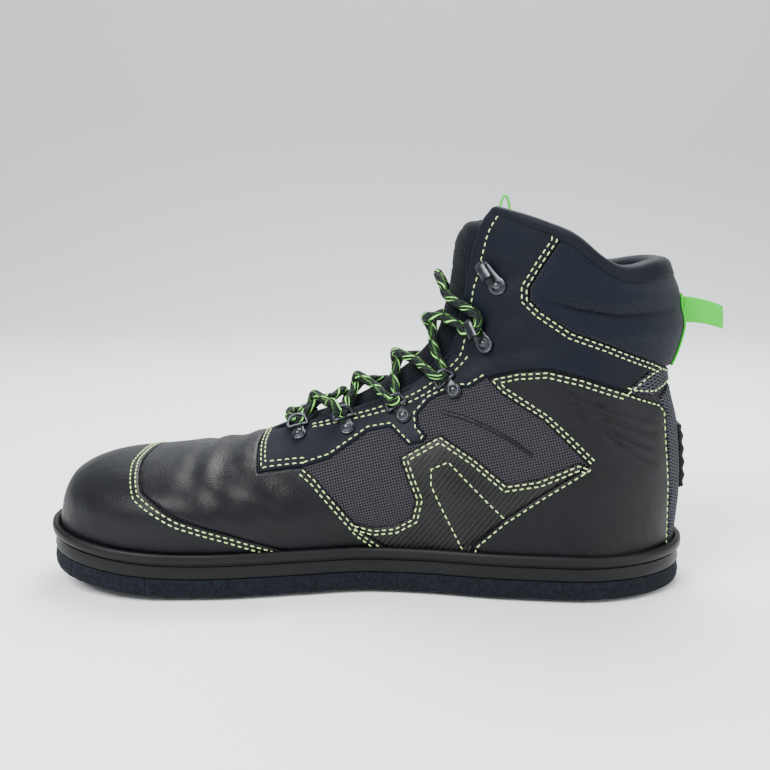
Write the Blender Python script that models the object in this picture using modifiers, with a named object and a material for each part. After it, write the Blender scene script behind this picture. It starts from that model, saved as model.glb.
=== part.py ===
"""Right-hand wading boot: felt outsole with studs, midsole, lasted upper, overlays and lacing.

Metres, +Z up. The toe points along -X, the heel along +X, and the medial side faces -Y.
Every curved piece is worked out from one function, form(), which gives the outer face of the
upper from the sections below. Overlays, tongue, pads and fittings lie on that same face.
"""
from collections import namedtuple
from math import cos, pi, radians, sin

import bmesh
import bpy
import numpy as np
from mathutils import Matrix, Vector

# Last and sole, the sizes that a last maker gives
LENGTH = 0.320
BALL_WIDTH = 0.120
SHAFT_WIDTH = 0.084
INSTEP_HEIGHT = 0.103
SHAFT_HEIGHT = 0.168
HEEL_HEIGHT = 0.058
BACK_HEIGHT = 0.139
TOE_SPRING = 0.009
SPRING_START = 0.28

# Sole
FELT_THICKNESS = 0.009
FELT_ROUND = 0.0012
MIDSOLE_THICKNESS = 0.0108
LIP_HEIGHT = 0.0018
LIP_BULGE = 0.0011
LIP_WIDTH = 0.0027
LIP_GAP = 0.0012
STUD_STAND = 0.0018
STUD_DIAMETER = 0.0056
PIN_DIAMETER = 0.0033
FLANGE_STAND = 0.0009
STUD_SIDES = 8
INSOLE_THICKNESS = 0.004
INSOLE_MARGIN = 0.0019

# Upper
CLEARANCE = 0.0003
WALL = 0.002
THROAT_GAP = 0.026
COLLAR_GAP = 0.048
TONGUE_WIDTH = 0.068
TONGUE_THICKNESS = 0.0045
TONGUE_TOP_THICKNESS = 0.009
TONGUE_STAND = 0.004
TONGUE_LEAN = 0.011
BRIDGE_SPAN = 0.8
TONGUE_TUCK = 0.0013

# Overlays
OVERLAY_THICKNESS = 0.001
SEAM_GAP = 0.0006
PAD_EDGE = 0.0012
PAD_SWELL = 0.0035
PAD_REACH = 0.008
LUG_WIDTH = 0.016
LUG_HEIGHT = 0.011
LUG_THICKNESS = 0.0025

# Fittings and lace
RIVET_INSET = 0.0095
RIVET_DIAMETER = 0.0062
RIVET_STAND = 0.0022
PLATE_THICKNESS = 0.0012
RING_PLATE_WIDTH = 0.0075
RING_REACH = 0.0062
RING_LENGTH = 0.0075
RING_WIDTH = 0.0115
RING_WIRE = 0.0019
RING_TILT = radians(32)
HOOK_REACH = 0.0125
HOOK_PLATE_WIDTH = 0.0092
HOOK_WIDTH = 0.0052
HOOK_STAND = 0.0062
HOOK_RETURN = 0.0085
HOOK_GAUGE = 0.0012
LACE_DIAMETER = 0.0048
LACE_RISE = 0.0016
LACE_SPREAD = 0.12
LACE_END = 0.0040
LACE_SEAT = 0.0010
LACE_ASIDE = 0.0026
LACED = 5
LACE_POINTS = 9

# Webbing loops
LOOP_THICKNESS = 0.001
TONGUE_LOOP_WIDTH = 0.0065
TONGUE_LOOP_HEIGHT = 0.011
HEEL_LOOP_WIDTH = 0.0125
HEEL_LOOP_REACH = 0.0195
HEEL_LOOP_SPAN = 0.007
HEEL_LOOP_DROP = 0.004
TAPE_WIDTH = 0.013

RING_POINTS = 27
HALF_PI = pi / 2
LATERAL = 1e-9
SHARP_ANGLE = radians(40)

# Sole outline from toe to heel: place along the length, then half width and how far the
# middle leans to the medial side, both as shares of the ball width
Outline = namedtuple("Outline", "along half lean")
OUTLINE = [
    Outline(0.00, 0.500, 0.150),
    Outline(0.10, 0.500, 0.084),
    Outline(0.20, 0.499, 0.038),
    Outline(0.30, 0.507, -0.008),
    Outline(0.40, 0.468, -0.036),
    Outline(0.50, 0.412, -0.046),
    Outline(0.60, 0.396, -0.024),
    Outline(0.70, 0.416, -0.004),
    Outline(0.80, 0.420, 0.008),
    Outline(0.90, 0.420, 0.006),
    Outline(1.00, 0.420, 0.000),
]
TOE_ROUND = 0.22
HEEL_ROUND = 0.18

# Studs: place along the length from the toe, and towards the medial side, as a share of the
# ball width
Stud = namedtuple("Stud", "name along medial")
STUDS = [
    Stud("stud_heel_1", 0.829, 0.188),
    Stud("stud_heel_2", 0.849, -0.158),
    Stud("stud_heel_3", 0.667, 0.153),
    Stud("stud_heel_4", 0.686, -0.183),
    Stud("stud_medial_1", 0.397, 0.179),
    Stud("stud_medial_2", 0.285, 0.258),
    Stud("stud_medial_3", 0.181, 0.288),
    Stud("stud_medial_4", 0.099, 0.247),
    Stud("stud_lateral_1", 0.418, -0.276),
    Stud("stud_lateral_2", 0.315, -0.305),
    Stud("stud_lateral_3", 0.214, -0.263),
    Stud("stud_lateral_4", 0.110, -0.128),
]

# Sections of the upper, fanned from the toe round the instep to the collar.
# foot: place of the section's foot along the length, back: how far it stands out behind it
# heel, collar: its rise as shares of HEEL_HEIGHT and of the rest of BACK_HEIGHT
# crest: place of its top along the length, instep, shaft: its rise, as shares of
# INSTEP_HEIGHT and of the rest of SHAFT_HEIGHT
# ball, ankle: half width as shares of BALL_WIDTH and SHAFT_WIDTH
# belly: where along the section it is widest, round: how full it closes over the top
# lean: how far the crest leans to the medial side, dip: sag of the rim, as a share of SHAFT_HEIGHT
Section = namedtuple(
    "Section", "foot back heel collar crest instep shaft ball ankle belly round lean dip")
SECTIONS = [
    Section(0.000, 0.000, 0.00, 0.00, 0.016, 0.117, 0.00, 0.45, 0.00, 0.50, 2.0, 0.13, 0.00),
    Section(0.016, 0.000, 0.00, 0.00, 0.037, 0.243, 0.00, 0.46, 0.00, 0.45, 2.1, 0.11, 0.00),
    Section(0.060, 0.000, 0.00, 0.00, 0.090, 0.330, 0.00, 0.475, 0.00, 0.40, 2.2, 0.09, 0.00),
    Section(0.148, 0.000, 0.00, 0.00, 0.178, 0.385, 0.00, 0.49, 0.00, 0.38, 2.1, 0.07, 0.00),
    Section(0.260, 0.000, 0.00, 0.00, 0.269, 0.440, 0.00, 0.495, 0.00, 0.34, 2.0, 0.06, 0.00),
    Section(0.365, 0.000, 0.00, 0.00, 0.344, 0.500, 0.00, 0.47, 0.00, 0.30, 1.8, 0.05, 0.00),
    Section(0.500, 0.000, 0.00, 0.00, 0.419, 0.612, 0.00, 0.41, 0.00, 0.26, 1.65, 0.04, 0.00),
    Section(0.654, 0.000, 0.00, 0.00, 0.500, 0.728, 0.00, 0.372, 0.00, 0.26, 1.6, 0.03, 0.00),
    Section(0.812, 0.000, 0.00, 0.00, 0.562, 0.854, 0.00, 0.372, 0.00, 0.30, 1.6, 0.02, 0.00),
    Section(0.940, 0.000, 0.00, 0.00, 0.606, 1.000, 0.00, 0.367, 0.00, 0.36, 1.7, 0.01, 0.00),
    Section(1.000, 0.000, 0.00, 0.00, 0.619, 1.000, 0.19, 0.00, 0.512, 0.40, 1.8, 0.00, 0.00),
    Section(1.000, 0.006, 0.48, 0.00, 0.628, 1.000, 0.39, 0.00, 0.506, 0.42, 1.9, 0.00, 0.00),
    Section(1.000, -0.001, 1.00, 0.00, 0.632, 1.000, 0.56, 0.00, 0.488, 0.42, 2.0, 0.00, 0.012),
    Section(1.000, -0.018, 1.00, 0.32, 0.636, 1.000, 0.73, 0.00, 0.470, 0.42, 2.0, 0.00, 0.030),
    Section(1.000, -0.010, 1.00, 0.69, 0.646, 1.000, 0.89, 0.00, 0.488, 0.42, 2.0, 0.00, 0.055),
    Section(1.000, -0.034, 1.00, 1.00, 0.668, 1.000, 1.00, 0.00, 0.494, 0.42, 2.0, 0.00, 0.070),
]
LAST_SECTION = len(SECTIONS) - 1
THROAT_SECTION = 5
HEEL_SECTION = 10
THROAT_ROUND = 1.2
TONGUE_FOOT = THROAT_SECTION - 0.4
TONGUE_BEND = LAST_SECTION - 2.5
DIP_PLACE = 0.27
DIP_SPREAD = 0.20

Fan = namedtuple(
    "Fan", "foot_x foot_z crest_x crest_z foot_half widest belly power foot_lean crest_lean dip")

# Rows and columns of points on the upper, shared by the overlays so that their faces match
UPPER_ROWS = np.concatenate([
    [0, 0.3, 0.65], np.linspace(1, THROAT_SECTION, 8), THROAT_SECTION + np.array([0.1, 0.4]),
    np.linspace(THROAT_SECTION + 1, HEEL_SECTION, 10),
    np.linspace(HEEL_SECTION + 0.5, LAST_SECTION, 9)])
UPPER_CLIMB = np.linspace(0, 1, 11)

# Borders of the overlays, drawn in side view: place along the length, and height above the
# feather edge as a share of SHAFT_HEIGHT. A height of 0 is on the lip of the midsole.
Corner = namedtuple("Corner", "along high")
BORDERS = {
    "toe": [(0.394, 0), (0.312, 0.064), (0.234, 0.116), (0.172, 0.169), (0.150, 0.225),
            (0.147, 0.390)],
    "tip": [(-0.04, 0.390), (-0.04, 0)],
    "vamp_foot": [(0.544, 0), (0.531, 0.017), (0.500, 0.064), (0.491, 0.088)],
    "vamp_top": [(0.491, 0.088), (0.469, 0.136), (0.431, 0.213), (0.412, 0.239)],
    "facing_front": [(0.412, 0.239), (0.397, 0.237), (0.344, 0.225), (0.334, 0.285),
                     (0.331, 0.404)],
    "facing_foot": [(0.412, 0.239), (0.450, 0.261), (0.509, 0.335), (0.541, 0.347),
                    (0.569, 0.302)],
    "window": [(0.594, 0.314), (0.600, 0.332), (0.586, 0.356), (0.584, 0.386), (0.603, 0.427),
               (0.644, 0.466), (0.662, 0.466), (0.688, 0.499)],
    "counter_window": [(0.840, 0.262), (0.803, 0.332), (0.772, 0.386), (0.709, 0.457),
                       (0.688, 0.499)],
    "counter_top": [(0.688, 0.499), (0.734, 0.526), (0.778, 0.535), (0.828, 0.514),
                    (0.892, 0.473)],
    "counter_back": [(0.892, 0.473), (0.948, 0.430), (0.959, 0.404), (0.963, 0.302),
                     (0.969, 0.195), (0.972, 0)],
    "foxing": [(0.669, 0), (0.669, 0.023), (0.716, 0.106), (0.769, 0.177), (0.840, 0.262)],
    "midfoot_top": [(0.840, 0.262), (0.825, 0.273), (0.766, 0.225), (0.719, 0.210),
                    (0.672, 0.279), (0.619, 0.338), (0.556, 0.270), (0.569, 0.207),
                    (0.581, 0.154), (0.575, 0.106), (0.550, 0.079), (0.519, 0.073),
                    (0.491, 0.088)],
    "strap_top": [(0.892, 0.473), (0.928, 0.520), (0.950, 0.536)],
    "strap_foot": [(0.892, 0.473), (0.903, 0.464), (0.938, 0.454), (0.969, 0.475),
                   (1.05, 0.392)],
    "pad_heel": [(0.950, 0.536), (0.969, 0.518), (1.05, 0.451)],
    "pad_front": [(0.950, 0.536), (0.934, 0.552), (0.866, 0.606), (0.812, 0.642),
                  (0.766, 0.701), (0.750, 0.731), (0.750, 0.761), (0.769, 0.826),
                  (0.791, 0.892), (0.791, 1.24)],
    "above_front": [(0.331, 1.24)],
    "above_heel": [(1.05, 1.24)],
    "stay": [(0.948, 0.430), (0.959, 0.404), (0.963, 0.302), (0.969, 0.195), (0.972, 0),
             (1.05, 0), (1.05, 0.390), (0.969, 0.472), (0.950, 0.448)],
}

# Overlays: the sections that each spans, its side, and the borders round it in order, where a
# minus sign runs a border backwards
Panel = namedtuple("Panel", "name side first last finish borders")
HEEL_TAPE = [(0.93, 0.520), (1.05, 0.520), (1.05, 0.725), (0.93, 0.725)]
HEEL_LUG = [(0.93, 0.213), (1.05, 0.213), (1.05, 0.285), (0.93, 0.285)]
PANELS = [
    Panel("toe_cap", "both", 0, 5.4, "leather", ["toe", "tip"]),
    Panel("vamp_overlay", "both", 2.1, 6.8, "leather",
          ["vamp_foot", "vamp_top", "facing_front", "-toe"]),
    Panel("quarter_medial", "medial", 5, 15, "nubuck",
          ["-facing_front", "facing_foot", "window", "counter_top", "strap_top", "pad_front",
           "above_front"]),
    Panel("quarter_lateral", "lateral", 5, 15, "nubuck",
          ["-facing_front", "facing_foot", "window", "counter_top", "strap_top", "pad_front",
           "above_front"]),
    Panel("counter_medial", "medial", 6.5, 13.7, "leather",
          ["counter_top", "counter_back", "foxing", "counter_window"]),
    Panel("counter_lateral", "lateral", 6.5, 13.7, "leather",
          ["counter_top", "counter_back", "foxing", "counter_window"]),
    Panel("midfoot_medial", "medial", 5.4, 10, "ribbed",
          ["foxing", "midfoot_top", "-vamp_foot"]),
    Panel("midfoot_lateral", "lateral", 5.4, 10, "ribbed",
          ["foxing", "midfoot_top", "-vamp_foot"]),
    Panel("collar_pad", "both", 11.9, 15, "padding",
          ["-pad_heel", "pad_front", "above_heel"]),
    Panel("heel_strap", "both", 11.9, 14, "webbing",
          ["strap_top", "pad_heel", "-strap_foot"]),
    Panel("backstay", "both", 8.8, 13.7, "webbing", ["stay"]),
]
SOLE_STEPS = 6

# Fittings along the throat: the section that each sits on, and its turn in its own plane
Fitting = namedtuple("Fitting", "name kind section turn")
FITTINGS = [
    Fitting("eyelet_1", "ring", 5.65, 0),
    Fitting("eyelet_2", "ring", 6.45, 0),
    Fitting("eyelet_3", "ring", 7.37, 0),
    Fitting("eyelet_4", "ring", 8.47, 0),
    Fitting("hook_1", "hook", 10.35, 16),
    Fitting("hook_2", "hook", 12.40, 20),
]
TOP_BAR_RISE = 0.8

# Levels above the floor
FELT_BASE = STUD_STAND
MIDSOLE_BASE = FELT_BASE + FELT_THICKNESS + CLEARANCE
FLOOR_LEVEL = MIDSOLE_BASE + MIDSOLE_THICKNESS
FEATHER_LEVEL = FLOOR_LEVEL + CLEARANCE
FEATHER_INSET = LIP_WIDTH + LIP_GAP


def read_table(rows, column, places):
    """Column of a table at fractional row numbers, by a cubic through the rows (Catmull-Rom)."""
    values = np.array([getattr(row, column) for row in rows], float)
    places = np.clip(np.asarray(places, float), 0, len(values) - 1)
    row = np.minimum(places.astype(int), len(values) - 2)
    part = places - row
    padded = np.concatenate([[values[0]], values, [values[-1]]])
    before, first, second, after = (padded[row + step] for step in range(4))
    slope_in = (second - before) / 2
    slope_out = (after - first) / 2
    cubic = 2 * first - 2 * second + slope_in + slope_out
    square = -3 * first + 3 * second - 2 * slope_in - slope_out
    return first + part * (slope_in + part * (square + part * cubic))


def read_outline(column, along):
    """Column of the sole outline at shares of the length."""
    rows = np.clip(along, 0, 1) * (len(OUTLINE) - 1)
    return read_table(OUTLINE, column, rows)


def end_round(along):
    """How the outline closes at toe and heel: 0 at each end, 1 between, quarter ellipses."""
    toe = np.clip(1 - along / TOE_ROUND, 0, 1)
    heel = np.clip(1 - (1 - along) / HEEL_ROUND, 0, 1)
    return np.sqrt(1 - toe ** 2) * np.sqrt(1 - heel ** 2)


def outline_x(along, inset):
    """Place on X of a share of the length, on the outline drawn in by inset."""
    return -LENGTH / 2 + inset + along * (LENGTH - 2 * inset)


def outline_half(along, inset):
    """Half width of the outline drawn in by inset."""
    return (BALL_WIDTH * read_outline("half", along) - inset) * end_round(along)


def spring(x):
    """Rise of the sole towards the toe, a parabola from where the toe spring starts."""
    start = LENGTH * (SPRING_START - 0.5)
    reach = np.clip((start - x) / (start + LENGTH / 2), 0, None)
    return TOE_SPRING * reach ** 2


def fan(section):
    """Slanted line of each section, foot and crest, with its half widths and closing shape."""
    def read(column):
        return read_table(SECTIONS, column, section)

    heeled = section > HEEL_SECTION
    foot = np.where(section >= HEEL_SECTION, 1.0, np.clip(read("foot"), 0, 1))
    foot_x = outline_x(foot, FEATHER_INSET) + heeled * read("back") * LENGTH
    level = FEATHER_LEVEL + spring(foot_x)
    back_rise = read("heel") * HEEL_HEIGHT + read("collar") * (BACK_HEIGHT - HEEL_HEIGHT)
    foot_z = level + heeled * back_rise
    crest_x = (read("crest") - 0.5) * LENGTH
    crest_z = level + read("instep") * INSTEP_HEIGHT
    crest_z = crest_z + read("shaft") * (SHAFT_HEIGHT - INSTEP_HEIGHT)
    toe_end = np.sqrt(1 - np.clip(1 - foot / TOE_ROUND, 0, 1) ** 2)
    return Fan(
        foot_x, foot_z, crest_x, crest_z,
        outline_half(foot, FEATHER_INSET),
        (read("ball") * BALL_WIDTH + read("ankle") * SHAFT_WIDTH) * toe_end,
        read("belly"), 2 / read("round"), read_outline("lean", foot), read("lean"), read("dip"))


def form(section, turn):
    """Point of the last form, closed over the throat.

    section runs from 0 at the toe to LAST_SECTION at the collar. turn runs from 0 at the medial
    foot of the section to 1 at its crest, and on to 2 at its lateral foot. A section is two
    quarter ellipses, foot to belly and belly to crest, on the slanted line foot to crest.
    """
    section, turn = np.broadcast_arrays(np.asarray(section, float), np.asarray(turn, float))
    lateral = (turn < 0) | ((turn > 1) & (turn <= 2))
    climb = np.where(turn < 0, -turn, turn)
    climb = np.where((climb > 1) & (climb <= 2), 2 - climb, climb)
    climb = np.where(climb > 2, climb - 2, climb)
    line = fan(section)
    low = np.clip(climb * 2, 0, 1) * HALF_PI
    high = np.clip(climb * 2 - 1, 0, 1) * HALF_PI
    share = np.where(
        climb < 0.5, line.belly * (1 - np.cos(low)),
        line.belly + (1 - line.belly) * np.sin(high) ** line.power)
    half = np.where(
        climb < 0.5, np.hypot(line.widest * np.sin(low), line.foot_half * np.cos(low)),
        line.widest * np.clip(np.cos(high), 0, 1) ** line.power)
    lean = line.foot_lean * (1 - share) + line.crest_lean * share
    sag = line.dip * SHAFT_HEIGHT * np.exp(-((share - DIP_PLACE) / DIP_SPREAD) ** 2)
    x = line.foot_x + (line.crest_x - line.foot_x) * share
    z = line.foot_z + (line.crest_z - line.foot_z) * share - sag
    return np.stack([x, np.where(lateral, half, -half) - lean * BALL_WIDTH, z], -1)


def throat_half(section):
    """Half width of the throat: a round end at its foot, widening evenly to the collar."""
    up = np.clip((section - THROAT_SECTION) / (LAST_SECTION - THROAT_SECTION), 0, 1)
    end = np.clip(1 - (section - THROAT_SECTION) / THROAT_ROUND, 0, 1)
    return (THROAT_GAP + (COLLAR_GAP - THROAT_GAP) * up) / 2 * np.sqrt(1 - end ** 2)


def climb_at(section, half):
    """Climb at which a section has this half width, above its belly."""
    line = fan(section)
    high = np.arccos(np.clip(half / np.maximum(line.widest, CLEARANCE), 0, 1) ** (1 / line.power))
    return 0.5 + high / pi


def throat_turn(section, turn):
    """Turn on the form for a turn that runs only up to the edge of the throat."""
    section, turn = np.broadcast_arrays(np.asarray(section, float), np.asarray(turn, float))
    end = np.where(section > THROAT_SECTION, climb_at(section, throat_half(section)), 1.0)
    lateral = (turn > 1) & (turn <= 2)
    climb = np.where(lateral, 2 - turn, turn)
    scaled = np.where(climb > 0.5, 0.5 + (climb - 0.5) * (end - 0.5) * 2, climb)
    return np.where(lateral, 2 - np.minimum(scaled, 1 - LATERAL), scaled)


def outward(section, turn):
    """Unit normal of form(), pointing out of the boot, level along the foot of the upper."""
    step = 0.004
    section, turn = np.broadcast_arrays(np.asarray(section, float), np.asarray(turn, float))
    along = form(np.minimum(section + step, LAST_SECTION), turn)
    along = along - form(np.maximum(section - step, 0), turn)
    footed = section < HEEL_SECTION
    start = np.where(footed, np.maximum(turn - step, 0), turn - step)
    end = np.where(footed, np.minimum(turn + step, 2), turn + step)
    normal = np.cross(along, form(section, end) - form(section, start))
    at_foot = footed & ((turn <= 0) | (turn >= 2))
    normal[..., 2] = np.where(at_foot, 0, normal[..., 2])
    tip_line = form(0, 1) - form(0, 0)
    tip_normal = np.array([-tip_line[2], 0, tip_line[0]])
    normal = np.where(np.expand_dims(section <= 0, -1), tip_normal, normal)
    return normal / np.linalg.norm(normal, axis=-1, keepdims=True)


def material(name, colour, roughness, metallic=0.0):
    """Principled material of one flat finish."""
    made = bpy.data.materials.new(name)
    made.use_nodes = True
    shader = made.node_tree.nodes["Principled BSDF"]
    shader.inputs["Base Color"].default_value = (*colour, 1)
    shader.inputs["Roughness"].default_value = roughness
    shader.inputs["Metallic"].default_value = metallic
    return made


def keep(name, mesh, finish):
    """Object of a finished mesh, in the boot's collection, shaded smooth with sharp corners."""
    piece = bpy.data.objects.new(name, mesh)
    BOOT.objects.link(piece)
    mesh.materials.clear()
    mesh.materials.append(finish)
    mesh.shade_smooth()
    mesh.set_sharp_from_angle(angle=SHARP_ANGLE)
    return piece


def mesh_of(name, points, faces, weld=0.00002):
    """Mesh of points and faces with coincident points welded."""
    mesh = bpy.data.meshes.new(name)
    mesh.from_pydata([tuple(point) for point in points], [], faces)
    work = bmesh.new()
    work.from_mesh(mesh)
    bmesh.ops.remove_doubles(work, verts=work.verts, dist=weld)
    bmesh.ops.recalc_face_normals(work, faces=work.faces)
    work.to_mesh(mesh)
    work.free()
    return mesh


def ring(inset, level):
    """Closed ring of the sole outline at a level: medial side toe to heel, lateral side back."""
    along = (1 - np.cos(np.linspace(0, pi, RING_POINTS))) / 2
    x = outline_x(along, inset)
    half = outline_half(along, inset)
    middle = -BALL_WIDTH * read_outline("lean", along)
    z = level + spring(x)
    medial = np.stack([x, middle - half, z], -1)
    lateral = np.stack([x, middle + half, z], -1)[::-1]
    return np.concatenate([medial, lateral])


def slab(name, levels, finish):
    """Solid between rings of the outline, one for each (inset, level), closed by cross strips."""
    rings = [ring(inset, level) for inset, level in levels]
    count = 2 * RING_POINTS
    points = np.concatenate(rings)
    faces = []
    for layer in range(len(rings) - 1):
        for place in range(count):
            near = layer * count + place
            far = layer * count + (place + 1) % count
            faces.append((near, far, far + count, near + count))
    for start in (0, (len(rings) - 1) * count):
        for place in range(RING_POINTS - 1):
            across = count - 1 - place
            faces.append((start + place, start + place + 1, start + across - 1, start + across))
    return keep(name, mesh_of(name, points, faces), finish)


def build_sole():
    """Felt outsole, midsole with its lip, and insole."""
    felt_top = FELT_BASE + FELT_THICKNESS
    slab("felt_outsole", [
        (FELT_ROUND, FELT_BASE), (0, FELT_BASE + FELT_ROUND), (0, felt_top)], FINISHES["felt"])
    lip_foot = MIDSOLE_BASE + 0.68 * MIDSOLE_THICKNESS
    lip_top = FLOOR_LEVEL + LIP_HEIGHT
    slab("midsole", [
        (0.0006, MIDSOLE_BASE),
        (0, MIDSOLE_BASE + 0.0010),
        (0.0006, lip_foot),
        (-LIP_BULGE, lip_foot + 0.0010),
        (-LIP_BULGE, lip_top - 0.0012),
        (0.0004, lip_top),
        (LIP_WIDTH, lip_top - 0.0003),
        (LIP_WIDTH, FLOOR_LEVEL)], FINISHES["rubber"])
    inner = FEATHER_INSET + WALL + INSOLE_MARGIN
    slab("insole", [
        (inner, FEATHER_LEVEL),
        (inner, FEATHER_LEVEL + 0.8 * INSOLE_THICKNESS),
        (inner + 0.001, FEATHER_LEVEL + INSOLE_THICKNESS)], FINISHES["lining"])


def shell(grid_s, grid_t, lift, thickness):
    """Outer and inner points of a wall on form(): lift is to its inner face."""
    normal = outward(grid_s, grid_t)
    inner = form(grid_s, grid_t) + normal * np.expand_dims(np.broadcast_to(lift, grid_s.shape), -1)
    outer = inner + normal * np.expand_dims(np.broadcast_to(thickness, grid_s.shape), -1)
    return outer, inner


def grid_faces(rows, columns, start, flip=False):
    """Triangles of a grid of points numbered from start, row by row, all split the same way."""
    faces = []
    for row in range(rows - 1):
        for place in range(columns - 1):
            near = start + row * columns + place
            far = near + 1 + columns
            for face in ((near, near + 1, far - 1), (near + 1, far, far - 1)):
                faces.append(face[::-1] if flip else face)
    return faces


def wall(name, first, last, lift, thickness, side="both"):
    """Mesh of a closed wall on the form between two sections, on one side or both.

    Both halves weld over the vamp and up the heel. Rims close the wall at the feather edge, the
    throat and its two end sections, and a single half all round. lift and thickness are each
    a length, or a function of the grid of points.
    """
    turns_of = {"medial": UPPER_CLIMB, "lateral": 2 - UPPER_CLIMB * (1 - LATERAL)}
    single = side != "both"
    sections = UPPER_ROWS[(UPPER_ROWS >= first) & (UPPER_ROWS <= last)]
    rows, columns = len(sections), len(UPPER_CLIMB)
    size = rows * columns
    points = []
    faces = []
    for half, turns in enumerate([turns_of[side]] if single else turns_of.values()):
        grid_s, grid_t = np.meshgrid(sections, turns, indexing="ij")
        grid_t = throat_turn(grid_s, grid_t)
        points_at = form(grid_s, grid_t)
        thick = thickness(points_at) if callable(thickness) else thickness
        base = lift(points_at) if callable(lift) else lift
        outer, inner = shell(grid_s, grid_t, base, thick)
        start = 2 * size * half
        points += [outer.reshape(-1, 3), inner.reshape(-1, 3)]
        faces += grid_faces(rows, columns, start) + grid_faces(rows, columns, start + size)
        for row in range(rows - 1):
            edges = []
            if single or sections[row + 1] <= HEEL_SECTION:
                edges.append(0)
            if single or sections[row] >= THROAT_SECTION:
                edges.append(columns - 1)
            for edge in edges:
                near = start + row * columns + edge
                faces.append((near, near + columns, near + columns + size, near + size))
        ends = [rows - 1] if first == 0 else [0, rows - 1]
        for end in ends:
            for place in range(columns - 1):
                near = start + end * columns + place
                faces.append((near, near + 1, near + 1 + size, near + size))
    return mesh_of(name, np.concatenate(points), faces)


def build_upper():
    """Hollow upper: the form with its wall laid inwards, open underneath and at the collar."""
    keep("upper", wall("upper", 0, LAST_SECTION, -WALL, WALL), FINISHES["base"])


def side_view(corner):
    """Place on X and Z of a corner of a border."""
    x = (corner.along - 0.5) * LENGTH
    high = LIP_HEIGHT if corner.high == 0 else corner.high * SHAFT_HEIGHT
    return np.array([x, FEATHER_LEVEL + spring(x) + high])


def outline_of(borders):
    """Closed outline of borders in side view, as places on X and Z, and drawn in by half a gap."""
    corners = []
    for name in borders:
        line = [Corner(*corner) for corner in BORDERS[name.lstrip("-")]]
        corners += line[::-1] if name.startswith("-") else line
    corners = [corner for place, corner in enumerate(corners) if corner != corners[place - 1]]
    points = []
    for place, corner in enumerate(corners):
        after = corners[(place + 1) % len(corners)]
        on_lip = corner.high == 0 and after.high == 0
        for share in np.linspace(0, 1, SOLE_STEPS, endpoint=False) if on_lip else [0]:
            points.append(Corner(corner.along + share * (after.along - corner.along), corner.high))
    return drawn_in(np.array([side_view(point) for point in points]), SEAM_GAP / 2)


def drawn_in(points, inset):
    """Closed flat outline moved inwards by inset, with mitred corners."""
    ahead = np.roll(points, -1, axis=0) - points
    ahead = ahead / np.linalg.norm(ahead, axis=1, keepdims=True)
    area = np.sum(points[:, 0] * np.roll(points[:, 1], -1) - np.roll(points[:, 0], -1) * points[:, 1])
    inward = np.stack([-ahead[:, 1], ahead[:, 0]], -1) * np.sign(area)
    before = np.roll(inward, 1, axis=0)
    mitre = (inward + before) / (1 + np.sum(inward * before, axis=1, keepdims=True))
    return points + inset * mitre


def prism(name, outline, low, high):
    """Cutter: a flat outline in side view, run through the boot from low to high on Y."""
    curve = bpy.data.curves.new(name, "CURVE")
    curve.dimensions = "2D"
    curve.fill_mode = "BOTH"
    curve.extrude = (high - low) / 2
    spline = curve.splines.new("POLY")
    spline.points.add(len(outline) - 1)
    for point, (x, z) in zip(spline.points, outline):
        point.co = (x, z, 0, 1)
    spline.use_cyclic_u = True
    turn = Matrix.Rotation(HALF_PI, 4, "X")
    return solid_of(name, curve, Matrix.Translation((0, (low + high) / 2, 0)) @ turn)


def solid_of(name, curve, place):
    """Cutter object with the closed mesh of a curve, put in place."""
    drawn = bpy.data.objects.new(name, curve)
    CUTTERS.objects.link(drawn)
    bpy.context.view_layer.update()
    graph = bpy.context.evaluated_depsgraph_get()
    mesh = bpy.data.meshes.new_from_object(drawn.evaluated_get(graph))
    bpy.data.objects.remove(drawn)
    work = bmesh.new()
    work.from_mesh(mesh)
    bmesh.ops.remove_doubles(work, verts=work.verts, dist=0.00001)
    bmesh.ops.recalc_face_normals(work, faces=work.faces)
    work.transform(place)
    work.to_mesh(mesh)
    work.free()
    solid = bpy.data.objects.new(name, mesh)
    CUTTERS.objects.link(solid)
    solid.hide_render = True
    solid.display_type = "WIRE"
    return solid


def combine(piece, operation, other):
    """Boolean of a piece with a cutter object."""
    step = piece.modifiers.new(operation.lower(), "BOOLEAN")
    step.operation = operation
    step.solver = "EXACT"
    step.object = other


def pad_thickness(points):
    """Thickness of the collar pad: thin at its stitched front border, swelling away from it."""
    border = [side_view(Corner(*corner)) for corner in BORDERS["pad_front"]]
    border = border[:-1] + [side_view(Corner(*BORDERS["pad_heel"][-1]))]
    border = [border[-1]] + border[:-1]
    flat = points[..., (0, 2)]
    nearest = np.full(flat.shape[:-1], LENGTH)
    for start, end in zip(border[:-1], border[1:]):
        run = end - start
        share = np.clip(np.sum((flat - start) * run, axis=-1) / np.sum(run * run), 0, 1)
        away = np.linalg.norm(flat - start - share[..., None] * run, axis=-1)
        nearest = np.minimum(nearest, away)
    return PAD_EDGE + PAD_SWELL * (1 - np.exp(-nearest / PAD_REACH))


def build_overlays():
    """Overlays, each a layer over the upper cut to its outline in side view."""
    middle = -float(fan(np.array(float(THROAT_SECTION))).crest_lean) * BALL_WIDTH
    spans = {
        "both": (-BALL_WIDTH, BALL_WIDTH),
        "medial": (-BALL_WIDTH, middle - SEAM_GAP / 2),
        "lateral": (middle + SEAM_GAP / 2, BALL_WIDTH)}
    for panel in PANELS:
        thickness = pad_thickness if panel.finish == "padding" else OVERLAY_THICKNESS
        mesh = wall(panel.name, panel.first, panel.last, CLEARANCE, thickness, panel.side)
        piece = keep(panel.name, mesh, FINISHES[panel.finish])
        outline = outline_of(panel.borders)
        combine(piece, "INTERSECT", prism(panel.name + "_outline", outline, *spans[panel.side]))


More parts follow.
